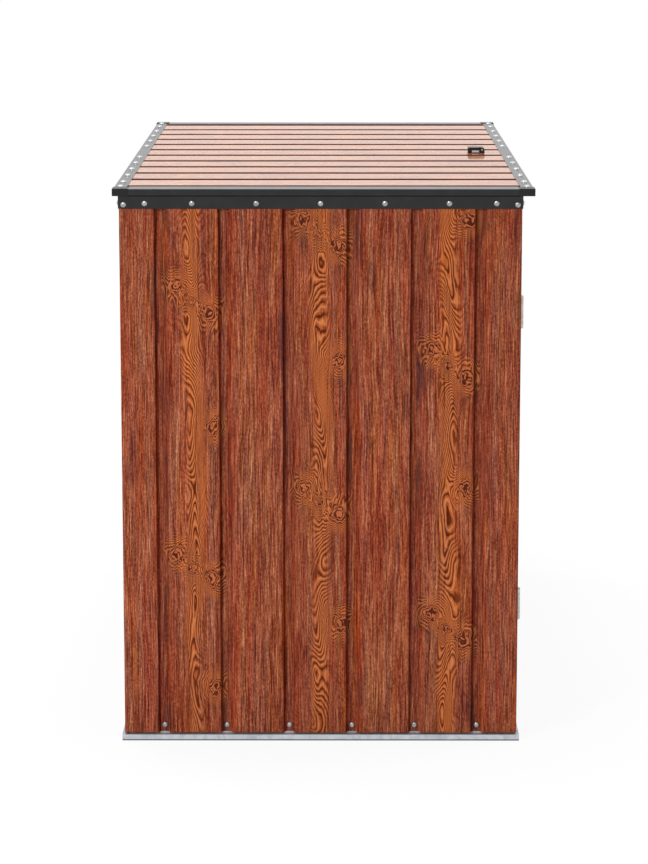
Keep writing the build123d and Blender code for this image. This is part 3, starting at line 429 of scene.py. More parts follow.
@dataclass(frozen=True)
class WoodPrint:
    """Printed wood grain on ribbed sheet: straight grain on every other flat, flame figure between, with
    painted shade in the grooves and painted light on a sheet drawn lighter.
    """

    name: str
    lie: Lie
    outward: float
    face: float
    flat_centre: float
    seed: float
    specular: float = 0.03
    coat: float = 0.02
    coat_roughness: float = 0.06
    roughness: float = 0.42
    # Painted shade in the grooves: tints for the flanks, for the flank that faces away from the key lamp,
    # and for the groove floor, and the depth where the flank tint is full.
    painted_flank_shade: Colour = (1.0, 0.9, 0.88)
    painted_fold_shade: Colour = (0.55, 0.42, 0.4)
    painted_floor_shade: Colour = (0.88, 0.92, 0.98)
    flank_shade_start: float = 0.15
    # Painted light: a multiplier on the print's colours that draws a sheet lighter and yellower, as if lit
    # more.
    painted_light_cast: Colour = WHITE
    pitch: float = 0.128
    repeat: float = 0.545
    rib_depth: float = 0.010
    groove: float = 0.0255
    # Painted shade: how far the flank tint reaches onto each flat's edge beside a groove.
    painted_edge_shade: float = 0.0
    knots: tuple[Knot, ...] = (
        Knot(0.034, 0.0, 0.017),
        Knot(0.004, 0.06, 0.011),
        Knot(-0.036, 0.1, 0.019),
        Knot(-0.04, 0.52, 0.018),
    )

    RED = (
        (0.0, srgb(78, 24, 14)),
        (0.3, srgb(118, 46, 27)),
        (0.5, srgb(143, 62, 39)),
        (0.72, srgb(166, 82, 54)),
        (1.0, srgb(192, 110, 78)),
    )
    TAN = (
        (0.0, srgb(84, 38, 26)),
        (0.3, srgb(116, 61, 43)),
        (0.5, srgb(142, 81, 58)),
        (0.72, srgb(168, 103, 74)),
        (1.0, srgb(202, 138, 102)),
    )
    WARM = (1.06, 1.02, 0.66)
    COOL = (0.94, 0.97, 1.3)
    FLAME = srgb(192, 96, 38)
    PALE = srgb(212, 134, 82)
    LINE = srgb(70, 20, 5)
    STROKE = srgb(80, 26, 14)
    EDGE_RED = srgb(146, 46, 26)
    SMUDGE = srgb(72, 42, 40)
    SWIRL_PALE = srgb(186, 102, 62)
    SWIRL_DARK = srgb(66, 25, 18)
    PRIMER = srgb(176, 172, 166)
    PRIMER_DULL = srgb(150, 146, 140)

    LEAN_LAYER = Layer(11.0, 5.0, 2.0, 1.0)
    SLOW_LAYER = Layer(30.0, 1.6)
    HUE_LAYER = Layer(85.0, 3.0, 5.0, 3.0, 0.6)
    STREAK_LAYER = Layer(200.0, 6.0, 0.0, 3.0, 0.6)
    THREAD_LAYER = Layer(420.0, 9.0, 1.0, 2.0, 0.6)
    FIBRE_LAYER = Layer(600.0, 30.0)
    SPECK_LAYER = Layer(420.0, 170.0, 0.0, 1.0)
    ISLAND_LAYER = Layer(15.0, 4.2, 3.0, 1.0, 0.4, 0.1)
    SWELL_LAYER = Layer(75.0, 22.0)
    CURL_LAYER = Layer(62.0, 52.0, 0.0, 1.0, 0.5, 1.2)
    SMUDGE_LAYER = Layer(40.0, 6.0, 9.0, 3.0)
    WARM_LAYER = Layer(60.0, 2.6, 7.0, 3.0, 0.6)
    GRIME_SCALE = 40.0
    PEEL_SCALE = 900.0
    PEEL_HEIGHT = 0.0001
    PEEL_STRENGTH = 0.25

    LANE_STEP = 7.31
    SHIFT_BEND = 0.0908
    SHIFT_STEP = 0.0587
    SHIFT_SEED = 0.37
    SHIFT_START = 0.419
    FLOOR_SHARES = (0.72, 0.95)
    FOLD_SHADE_FACING = (-0.25, -0.75)
    INSIDE_FACING = -0.05
    FLANK_DULLING = 0.9

    LEAN_WIDTH = 0.012
    DRIFT_ALONG = 4.0
    DRIFT_WIDTH = 0.034
    HEART_ROUND = 0.006
    RINGS = 150.0
    COLUMN_EDGE = (0.026, 0.007)
    RIM_EDGE = (0.036, 0.052)
    LINE_BAND = ((0.58, 0.78), (1.0, 0.93))
    PALE_BAND = ((0.06, 0.22), (0.48, 0.32))
    SWIRL_BAND = ((0.2, 0.5), (1.0, 0.8))

    KNOT_SQUEEZE = 0.75
    KNOT_UNEVEN = 0.026
    HALO_REACH = 2.8
    CORE_REACH = (1.05, 0.8)
    TAIL_UNEVEN = 0.012
    TAIL_EDGE = (0.009, 0.001)
    TAIL_BAND = ((-0.085, -0.015), (0.004, -0.012))
    PATCH_ASIDE = 1.5
    PATCH_HALF_WIDTH = 0.014
    PATCH_HALF_HEIGHT = 0.055
    PATCH_UNEVEN = 0.8
    PATCH_EDGE = (1.0, 0.2)

    def build(self) -> bpy.types.Material:
        """Build the print.

        Returns:
            The material.
        """
        graph = Graph(bpy.data.materials.new(self.name))
        across, along, depth = (axis.value for axis in self.lie.value)
        place = graph.place()
        spot = self.spot(place[across], place[along])
        colour = self.grain(graph, spot)

        # Painted shade in the grooves: the flanks are tinted darker, the flank that faces away from the key
        # lamp darker still, and the groove floor darker and cooler.
        into = (place[depth] - self.face) * -self.outward
        floor = into.ease(*(share * self.rib_depth for share in self.FLOOR_SHARES))
        flank = into.ease(0.0, self.flank_shade_start * self.rib_depth)
        # Painted shade: where set, the dark flank tint reaches onto the edge of each flat beside a groove.
        if self.painted_edge_shade:
            inner = (self.pitch - self.groove) / 2 - self.painted_edge_shade
            flank = flank.most(spot.local.size().ease(inner, inner + self.painted_edge_shade / 2))
        facing = graph.facing()
        side = graph.tint(flank, colour, self.painted_flank_shade)
        side = graph.tint(flank * facing[across].ease(*self.FOLD_SHADE_FACING), side, self.painted_fold_shade)
        painted_floor_colour = graph.tint(floor, colour, self.painted_floor_shade)
        colour = graph.mix(floor, side, painted_floor_colour)
        outside = (facing[depth] * self.outward).above(self.INSIDE_FACING)
        grime = graph.noise((*evenly((spot.across, spot.along), self.GRIME_SCALE), self.seed), 4.0)
        primer = graph.mix(grime + 0.4, self.PRIMER, self.PRIMER_DULL)
        peel = graph.noise((*evenly((spot.across, spot.along), self.PEEL_SCALE), self.seed), 2.0)
        return graph.surface(
            {
                "Base Color": graph.mix(outside, primer, colour),
                "Roughness": self.roughness + grime * 0.12,
                "Specular IOR Level": self.specular,
                "Coat Weight": outside * (1 - flank * self.FLANK_DULLING) * self.coat,
                "Coat Roughness": self.coat_roughness,
                "Normal": graph.bump(peel, self.PEEL_HEIGHT, self.PEEL_STRENGTH),
            }
        )

    def spot(self, across: Value, along: Value) -> Spot:
        """Find a point's place on its flat, and how the print lies there.

        Args:
            across: the coordinate across the ribs.
            along: the coordinate along the ribs.

        Returns:
            The point. Every other flat is figured.
        """
        rank = ((across - self.flat_centre) / self.pitch).rounded()
        local = across - self.flat_centre - rank * self.pitch
        figured = (rank * 0.5).part().below(0.25)
        lane = rank * self.LANE_STEP + self.seed
        start = self.seed * self.SHIFT_SEED + self.SHIFT_START
        shift = rank * rank * self.SHIFT_BEND - rank * self.SHIFT_STEP + start
        return Spot(across, along, local, figured, lane, shift)

    def grain(self, graph: Graph, spot: Spot) -> Value:
        """Draw the grain itself.

        Args:
            graph: the material's graph.
            spot: the point of the sheet.

        Returns:
            The colour of the print.
        """
        across, local, figured = spot.across, spot.local, spot.figured
        lean = across + self.LEAN_LAYER.at(graph, across, spot) * self.LEAN_WIDTH
        slow = self.SLOW_LAYER.at(graph, lean, spot)
        hue = self.HUE_LAYER.at(graph, lean, spot)
        streak = self.STREAK_LAYER.at(graph, lean, spot)
        thread = self.THREAD_LAYER.at(graph, lean, spot)
        fibre = self.FIBRE_LAYER.at(graph, lean, spot)
        speck = self.SPECK_LAYER.at(graph, across, spot)
        islands = self.ISLAND_LAYER.at(graph, across, spot)
        swell = self.SWELL_LAYER.at(graph, across, spot)
        curl = self.CURL_LAYER.at(graph, across, spot)
        drift = graph.noise((spot.lane, spot.along * self.DRIFT_ALONG, 1.0), 1.0) * self.DRIFT_WIDTH

        halo, core, shade = self.knot_marks(spot, swell)
        middle = local - drift
        heart = (middle * middle + self.HEART_ROUND * self.HEART_ROUND).root()
        ring = (heart * self.RINGS + islands * 40 + halo * 6.5 + swell * 1.3).part()
        line = ring.band(*self.LINE_BAND)
        pale = ring.band(*self.PALE_BAND)
        column = (heart - islands * 0.02).ease(*self.COLUMN_EDGE)
        column = figured * column.most(halo.ease(0.12, 0.6) * 0.7)
        blaze = column * (0.46 + slow * 1.0 + streak * 0.9 + thread * 1.4 + speck * 0.4)

        tone = 0.48 + slow * 0.1 + streak * 0.3 + thread * 1.6 + fibre * 1.2 + speck * 0.9
        tan = (hue + streak * 0.3).ease(-0.2, 0.2)
        colour = graph.mix(tan, self.ramp_with_painted_light(graph, tone, self.RED), self.ramp_with_painted_light(graph, tone, self.TAN))
        rim = local.size().ease(*self.RIM_EDGE)
        colour = graph.mix(rim * streak.ease(-0.2, 0.25) * 0.4, colour, self.EDGE_RED)
        smudge = self.SMUDGE_LAYER.at(graph, lean, spot).ease(0.04, 0.24) * (0.32 + rim * 0.36)
        colour = graph.mix(smudge.most(figured * shade * 0.75), colour, self.SMUDGE)
        warm = self.WARM_LAYER.at(graph, lean, spot)
        colour = graph.tint(warm.ease(0.0, 0.2), colour, self.WARM)
        colour = graph.tint(warm.ease(0.0, -0.2) * tone.ease(0.8, 0.3), colour, self.COOL)
        colour = graph.mix(blaze, colour, self.FLAME)
        near = column.most(halo.ease(0.05, 0.5) * 0.8)
        colour = graph.mix(pale * figured * (0.06 + near * 0.6), colour, self.PALE)
        colour = graph.mix(line * figured * (0.2 + near * 0.66), colour, self.LINE)
        stroke = thread.ease(-0.06, -0.22) * streak.ease(0.14, -0.14)
        colour = graph.mix(stroke * 0.7, colour, self.STROKE)
        swirl = (curl * 2.6 + halo * 9.0).part().band(*self.SWIRL_BAND)
        return graph.mix(figured * core * 0.9, colour, graph.mix(swirl, self.SWIRL_PALE, self.SWIRL_DARK))

    def ramp_with_painted_light(self, graph: Graph, tone: Value, stops: Stops) -> Value:
        """Read a ramp whose colours carry this sheet's painted light, if any: a multiplier that draws the
        print lighter and yellower, as if lit more.

        Args:
            graph: the material's graph.
            tone: what the ramp is read at.
            stops: places and colours along it.

        Returns:
            The colour.
        """
        painted_light_cast = []
        for spot, (red, green, blue) in stops:
            painted_light_cast.append((spot, (red * self.painted_light_cast[0], green * self.painted_light_cast[1], blue * self.painted_light_cast[2])))
        return graph.ramp(tone, tuple(painted_light_cast))

    def knot_marks(self, spot: Spot, swell: Value) -> tuple[Value, Value, Value]:
        """Mark the knots of the figured flats.

        Args:
            spot: the point of the sheet.
            swell: noise that makes the knots uneven.

        Returns:
            A soft halo about each knot, the knot itself, and the dark marks below and beside it.
        """
        halo: Value | float = 0.0
        core: Value | float = 0.0
        shade: Value | float = 0.0
        for knot in self.knots:
            turn = (spot.along / self.repeat + spot.shift + knot.turn).part() - 0.5
            rise = turn * self.repeat
            side = spot.local - knot.across
            reach = (side * side + rise * rise * self.KNOT_SQUEEZE).root() + swell * self.KNOT_UNEVEN
            halo = reach.ease(self.HALO_REACH * knot.radius, 0.0) + halo
            core = reach.ease(*(share * knot.radius for share in self.CORE_REACH)) + core
            tail = (side + swell * self.TAIL_UNEVEN).size().ease(*self.TAIL_EDGE)
            tail = tail * rise.band(*self.TAIL_BAND)
            beside = (spot.local - self.PATCH_ASIDE * knot.across) / self.PATCH_HALF_WIDTH
            level = rise / self.PATCH_HALF_HEIGHT
            patch = (beside * beside + level * level).root() + swell * self.PATCH_UNEVEN
            shade = tail.most(patch.ease(*self.PATCH_EDGE)) + shade
        return halo, core, shade


@dataclass(frozen=True)
class BlackPaint:
    """Glossy black powder coat on folded steel."""

    name: str = "black_paint"
    colour: Colour = srgb(17, 17, 18)
    worn: Colour = srgb(28, 27, 27)
    roughness: float = 0.3
    specular: float = 0.25
    gloss: float = 0.26
    gloss_roughness: float = 0.15
    cloud_scale: float = 30.0
    peel_scale: float = 700.0
    peel_height: float = 0.0001

    def build(self) -> bpy.types.Material:
        """Build the paint.

        Returns:
            The material.
        """
        graph = Graph(bpy.data.materials.new(self.name))
        place = graph.place()
        cloud = graph.noise(evenly(place, self.cloud_scale), 4.0)
        peel = graph.noise(evenly(place, self.peel_scale), 2.0)
        return graph.surface(
            {
                "Base Color": graph.mix(cloud.ease(-0.1, 0.3), self.colour, self.worn),
                "Roughness": self.roughness + cloud * 0.12,
                "Specular IOR Level": self.specular,
                "Coat Weight": self.gloss,
                "Coat Roughness": self.gloss_roughness,
                "Normal": graph.bump(peel, self.peel_height, 0.3),
            }
        )


@dataclass(frozen=True)
class ZincSheet:
    """Hot-dip galvanised steel with a soft spangle, and a painted shadow: darker blue-grey along the lowest
    few millimetres, where it stands on the ground.
    """

    name: str = "galvanised_steel"
    bright: Colour = srgb(208, 210, 214)
    dull: Colour = srgb(176, 181, 187)
    foot_shadow: Colour = srgb(88, 97, 106)
    foot_shadow_edge: Ends = (0.0034, 0.0018)
    metallic: float = 0.75
    roughness: float = 0.42
    spangle_scale: float = 95.0
    cloud_scale: float = 18.0
    cloud_height: float = 0.0004

    def build(self) -> bpy.types.Material:
        """Build the zinc.

        Returns:
            The material.
        """
        graph = Graph(bpy.data.materials.new(self.name))
        place = graph.place()
        spangle = graph.cells(evenly(place, self.spangle_scale))
        cloud = graph.noise(evenly(place, self.cloud_scale), 4.0)
        colour = graph.mix(spangle * 0.6 + cloud * 0.8 + 0.2, self.bright, self.dull)
        # Painted shadow: the lowest few millimetres turn dark blue-grey where the rail stands on the
        # ground.
        foot_shadow_mask = place[Axis.Z.value].ease(*self.foot_shadow_edge)
        return graph.surface(
            {
                "Base Color": graph.mix(foot_shadow_mask, colour, self.foot_shadow),
                "Metallic": self.metallic,
                "Roughness": self.roughness + (spangle - 0.5) * 0.14 + cloud * 0.1,
                "Normal": graph.bump(cloud, self.cloud_height, 0.2),
            }
        )


@dataclass(frozen=True)
class PlatedSteel:
    """Turned or pressed small steel parts with a plated finish."""

    name: str
    bright: Colour
    dull: Colour
    metallic: float
    roughness: float
    cloud_scale: float = 160.0
    scuff_scale: float = 900.0
    scuff_height: float = 0.00008

    def build(self) -> bpy.types.Material:
        """Build the plating.

        Returns:
            The material.
        """
        graph = Graph(bpy.data.materials.new(self.name))
        place = graph.place()
        cloud = graph.noise(evenly(place, self.cloud_scale), 4.0, 0.6)
        scuff = graph.noise(evenly(place, self.scuff_scale), 2.0)
        return graph.surface(
            {
                "Base Color": graph.mix(cloud.ease(-0.15, 0.25), self.bright, self.dull),
                "Metallic": self.metallic,
                "Roughness": self.roughness + cloud * 0.2,
                "Normal": graph.bump(scuff, self.scuff_height, 0.3),
            }
        )


@dataclass(frozen=True)
class MouldedPart:
    """Moulded plastic or rubber with a fine grain."""

    name: str
    colour: Colour
    pale: Colour
    roughness: float
    specular: float = 0.3
    cloud_scale: float = 60.0
    grain_scale: float = 1400.0
    grain_height: float = 0.00012

    def build(self) -> bpy.types.Material:
        """Build the moulding.

        Returns:
            The material.
        """
        graph = Graph(bpy.data.materials.new(self.name))
        place = graph.place()
        cloud = graph.noise(evenly(place, self.cloud_scale), 4.0)
        grain = graph.noise(evenly(place, self.grain_scale), 2.0)
        return graph.surface(
            {
                "Base Color": graph.mix(cloud.ease(-0.05, 0.3) * 0.6, self.colour, self.pale),
                "Roughness": self.roughness + cloud * 0.15,
                "Specular IOR Level": self.specular,
                "Normal": graph.bump(grain, self.grain_height, 0.5),
            }
        )


def dress(names: tuple[str, ...], material: bpy.types.Material) -> None:
    """Give nodes of the frame a finish.

    Args:
        names: the nodes.
        material: their material.
    """
    for name in names:
        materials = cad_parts[name].data.materials
        materials.clear()
        materials.append(material)
    LOG.info("%s on %s", material.name, ", ".join(names))


def corners(name: str) -> tuple[Vector, Vector]:
    """The lowest and highest corner of a node of the frame."""
    low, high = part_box(name)
    return Vector(low), Vector(high)


@dataclass
class Cladding:
    """The ribbed printed sheets: walls, back, doors with their jambs, and the roof of the lid."""

    roof_specular: float = 0.2
    roof_gloss: float = 0.68
    # The roof's print is painted lit, lighter and yellower than the walls', with painted shade as dark
    # lines on the rib flanks and on the flats' edges beside them.
    roof_painted_flank_shade: Colour = (0.3, 0.1, 0.06)
    roof_flank_shade_start: float = 0.02
    roof_painted_light: Colour = (1.42, 1.95, 0.9)
    roof_painted_edge_shade: float = 0.004
    door_groove: float = 0.097
    middle: float = 0.0

    WALL_SEEDS = {"left": 3.0, "right": 11.0, "back": 17.0}
    DOOR_SEEDS = {"left": 23.0, "right": 29.0}
    ROOF_SEED = 41.0

    def dress(self) -> None:
        """Lay the print on every sheet, with the grain along its ribs."""
        self.dress_walls()
        self.dress_doors()
        self.dress_roof()

    def dress_walls(self) -> None:
        """Lay the print on the side walls and on the back, whose two sheets share one print."""
        for name, outward in (("left", -1.0), ("right", 1.0)):
            low, high = corners(f"wall_{name}")
            face = low.x if outward < 0 else high.x
            centre = (low.y + high.y) / 2
            seed = self.WALL_SEEDS[name]
            finish = WoodPrint(f"wood_print_{name}", Lie.SIDE, outward, face, centre, seed)
            dress((f"wall_{name}",), finish.build())
        face = corners("wall_back_left")[1].y
        seed = self.WALL_SEEDS["back"]
        finish = WoodPrint("wood_print_back", Lie.FRONT_OR_BACK, 1.0, face, self.middle, seed)
        dress(("wall_back_left", "wall_back_right"), finish.build())

    def dress_doors(self) -> None:
        """Lay the print on the doors and jambs, counted from each door's first groove by its free edge."""
        inset = self.door_groove + WoodPrint.pitch / 2
        for name, seed in self.DOOR_SEEDS.items():
            low, high = corners(f"door_{name}_skin")
            flat = high.x - inset if name == "left" else low.x + inset
            finish = WoodPrint(f"wood_print_door_{name}", Lie.FRONT_OR_BACK, -1.0, low.y, flat, seed)
            dress((f"door_{name}_skin", f"front_jamb_{name}"), finish.build())

    def dress_roof(self) -> None:
        """Lay the print on the lid, glossier and with painted light that draws it lighter and yellower, and
        painted shade as dark lines at its ribs.
        """
        finish = WoodPrint(
            "wood_print_roof",
            Lie.ROOF,
            1.0,
            corners("lid_panel_left")[1].z,
            self.middle,
            self.ROOF_SEED,
            specular=self.roof_specular,
            coat=self.roof_gloss,
            painted_flank_shade=self.roof_painted_flank_shade,
            flank_shade_start=self.roof_flank_shade_start,
            painted_light_cast=self.roof_painted_light,
            painted_edge_shade=self.roof_painted_edge_shade,
        )
        dress(("lid_panel_left", "lid_panel_right"), finish.build())


@dataclass
class Trim:
    """Everything that is not printed sheet: rails, posts, hinges, locks, struts, caps and buffers."""

    sides: tuple[str, ...] = ("left", "right", "front", "back")
    paint: BlackPaint = BlackPaint()
    sheet: ZincSheet = ZincSheet()
    hinge: PlatedSteel = PlatedSteel("hinge_steel", srgb(202, 199, 194), srgb(158, 153, 146), 0.8, 0.36)
    rivet: PlatedSteel = PlatedSteel("zinc_rivets", srgb(196, 196, 198), srgb(150, 148, 146), 0.8, 0.35)
    chrome: PlatedSteel = PlatedSteel("strut_chrome", srgb(226, 227, 230), srgb(205, 207, 212), 1.0, 0.12)
    cap: MouldedPart = MouldedPart("cap_plastic", srgb(16, 16, 17), srgb(26, 26, 27), 0.36)
    rubber: MouldedPart = MouldedPart("buffer_rubber", srgb(34, 34, 34), srgb(50, 49, 48), 0.8)

    def dress(self) -> None:
        """Give each group of nodes its finish."""
        black = [f"{kind}_rail_{side}" for kind in ("top", "lid") for side in self.sides]
        black += ["door_left_handle", "door_right_handle", "lid_pull_base", "lid_pull_flap"]
        black += ["latch_plate", "latch_keeper", "strut_left_cylinder", "strut_right_cylinder"]
        dress(tuple(black), self.paint.build())
        zinc = ["base_rail_left", "base_rail_right", "base_rail_back", "base_sill"]
        zinc += ["back_post_left", "back_post_right", "back_mid_post", "side_braces", "back_brace"]
        zinc += ["lid_braces", "lid_seam_strip", "door_left_channels", "door_right_channels"]
        zinc += ["strut_body_brackets", "strut_lid_brackets"]
        dress(tuple(zinc), self.sheet.build())
        plated = ["hinge_fixed_leaves", "hinge_pins", "lid_hinge_leaves", "lid_pull_pin", "latch_bolt"]
        plated += ["door_left_hinge_leaves", "door_right_hinge_leaves", "drop_bolt_top", "drop_bolt_bottom"]
        dress(tuple(plated), self.hinge.build())
        dress(("frame_rivets", "door_left_rivets", "door_right_rivets"), self.rivet.build())
        dress(("strut_left_rod", "strut_right_rod"), self.chrome.build())
        dress(("lid_corner_caps",), self.cap.build())
        dress(("lid_buffers",), self.rubber.build())


@dataclass(frozen=True)
class Seat:
    """Where a fastener sits: the middle of its head's underside, the way it looks and its spread."""

    point: Vector
    facing: Vector
    spread: Vector


@dataclass
class Fasteners:
    """Domed bolts and screws in finer form, set on the places of the solids that they stand for."""

    head_radius: float = 0.0059
    head_rim: float = 0.0010
    head_height: float = 0.0042
    shank_radius: float = 0.0029
    bolt_shank: float = 0.0105
    bolt_nut: float = 0.0046
    screw_shank: float = 0.009
    screw_nut: float = 0.0
    rivet_radius: float = 0.0032
    rivet_height: float = 0.0015
    segments: int = 28
    weld: float = 1e-6
    zinc: PlatedSteel = PlatedSteel("zinc_fasteners", srgb(168, 169, 171), srgb(122, 123, 125), 0.88, 0.34)
    # Painted highlight: the lid screws get a lighter copy of the zinc finish so that they read brighter
    # than the bolts of the body.
    bright: PlatedSteel = PlatedSteel("screws_painted_highlight", srgb(222, 223, 225), srgb(188, 189, 191), 0.8, 0.3)

    FULL_SIZE = (1.0, 1.0, 1.0)

    def build(self) -> None:
        """Build the bolts of the body, and the screws and hinge rivets of the lid."""
        bolts = [self.wall_seat(lump) for lump in self.lumps(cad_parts["frame_bolts"])]
        bolt = self.place("domed_bolts", bolts, self.zinc.build(), self.bolt_shank, self.bolt_nut)
        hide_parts("frame_bolts")
        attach(bolt, "box_body")
        screws = [self.lid_seat(lump) for lump in self.lumps(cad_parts["lid_fasteners"])]
        screw = self.place("lid_screws", screws, self.bright.build(), self.screw_shank, self.screw_nut)
        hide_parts("lid_fasteners")
        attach(screw, "lid")

    def wall_seat(self, lump: tuple[Vector, Vector]) -> Seat:
        """Find the seat of a bolt in a wall, whose head looks away from the box.

        Args:
            lump: the lowest and highest corner of the bolt.

        Returns:
            The seat.
        """
        low, high = corners("frame_bolts")
        lump_low, lump_high = lump
        walls = (
            (lump_low.x - low.x, Vector((-1, 0, 0))),
            (high.x - lump_high.x, Vector((1, 0, 0))),
            (lump_low.y - low.y, Vector((0, -1, 0))),
            (high.y - lump_high.y, Vector((0, 1, 0))),
        )
        facing = min(walls, key=lambda wall: wall[0])[1]
        half = (lump_high - lump_low) / 2
        reach = abs(half.dot(facing)) - self.head_height
        return Seat((lump_low + lump_high) / 2 + facing * reach, facing, Vector(self.FULL_SIZE))

    def lid_seat(self, lump: tuple[Vector, Vector]) -> Seat:
        """Find the seat of a screw on top of the lid, or of a rivet in a hinge leaf under it.

        Args:
            lump: the lowest and highest corner of the screw or rivet.

        Returns:
            The seat.
        """
        low, high = lump
        middle = (low + high) / 2
        if high.x - low.x > self.head_radius + self.rivet_radius:
            point = Vector((middle.x, middle.y, high.z - self.head_height))
            return Seat(point, Vector((0, 0, 1)), Vector(self.FULL_SIZE))
        round_share = self.rivet_radius / self.head_radius
        spread = Vector((round_share, round_share, self.rivet_height / self.head_height))
        point = Vector((middle.x, middle.y, low.z + self.rivet_height))
        return Seat(point, Vector((0, 0, -1)), spread)

    def lumps(self, source: bpy.types.Object) -> list[tuple[Vector, Vector]]:
        """Boxes of the separate lumps of an object's mesh, in the order of their first corners.

        Args:
            source: the object, which is left as it is.

        Returns:
            The lowest and highest corner of each lump.
        """
        mesh = bmesh.new()
        mesh.from_mesh(source.data)
        bmesh.ops.remove_doubles(mesh, verts=mesh.verts, dist=self.weld)
        waiting = set(mesh.verts)
        boxes = []
        for first in mesh.verts:
            if first not in waiting:
                continue
            waiting.remove(first)
            stack = [first]
            lump = []
            while stack:
                vertex = stack.pop()
                lump.append(vertex.co.copy())
                for edge in vertex.link_edges:
                    other = edge.other_vert(vertex)
                    if other in waiting:
                        waiting.remove(other)
                        stack.append(other)
            low = Vector(min(point[axis.value] for point in lump) for axis in Axis)
            high = Vector(max(point[axis.value] for point in lump) for axis in Axis)
            boxes.append((low, high))
        mesh.free()
        return boxes

    def place(
        self, name: str, seats: list[Seat], material: bpy.types.Material, shank: float, nut: float
    ) -> bpy.types.Object:
        """Set one fastener on each seat with a node tree, and make the result a plain mesh.

        Args:
            name: the object's name.
            seats: where the fasteners sit.
            material: their finish.
            shank: the length below the head.
            nut: the radius of the nut, or nought for none.

        Returns:
            The object.
        """
        points = bpy.data.meshes.new(f"{name}_seats")
        points.from_pydata([seat.point for seat in seats], [], [])
        facing = points.attributes.new("facing", "FLOAT_VECTOR", "POINT")
        facing.data.foreach_set("vector", [number for seat in seats for number in seat.facing])
        spread = points.attributes.new("spread", "FLOAT_VECTOR", "POINT")
        spread.data.foreach_set("vector", [number for seat in seats for number in seat.spread])
        carrier = bpy.data.objects.new(f"{name}_seats", points)
        bpy.context.scene.collection.objects.link(carrier)
        tree = FastenerTree(f"{name}_tree", material, self.segments)
        modifier = carrier.modifiers.new("fasteners", "NODES")
        modifier.node_group = tree.group
        sizes = {
            "Head Radius": self.head_radius,
            "Head Rim": self.head_rim,
            "Dome Height": self.head_height - self.head_rim,
            "Shank Radius": self.shank_radius,
            "Shank Length": shank,
            "Nut Radius": nut,
        }
        for label, size in sizes.items():
            modifier[tree.inputs[label]] = size
        shown = carrier.evaluated_get(bpy.context.evaluated_depsgraph_get())
        mesh = bpy.data.meshes.new_from_object(shown)
        mesh.name = name
        piece = bpy.data.objects.new(name, mesh)
        bpy.context.scene.collection.objects.link(piece)
        carrier.modifiers.remove(modifier)
        bpy.data.objects.remove(carrier)
        LOG.info("%s: %d pieces", name, len(seats))
        return piece


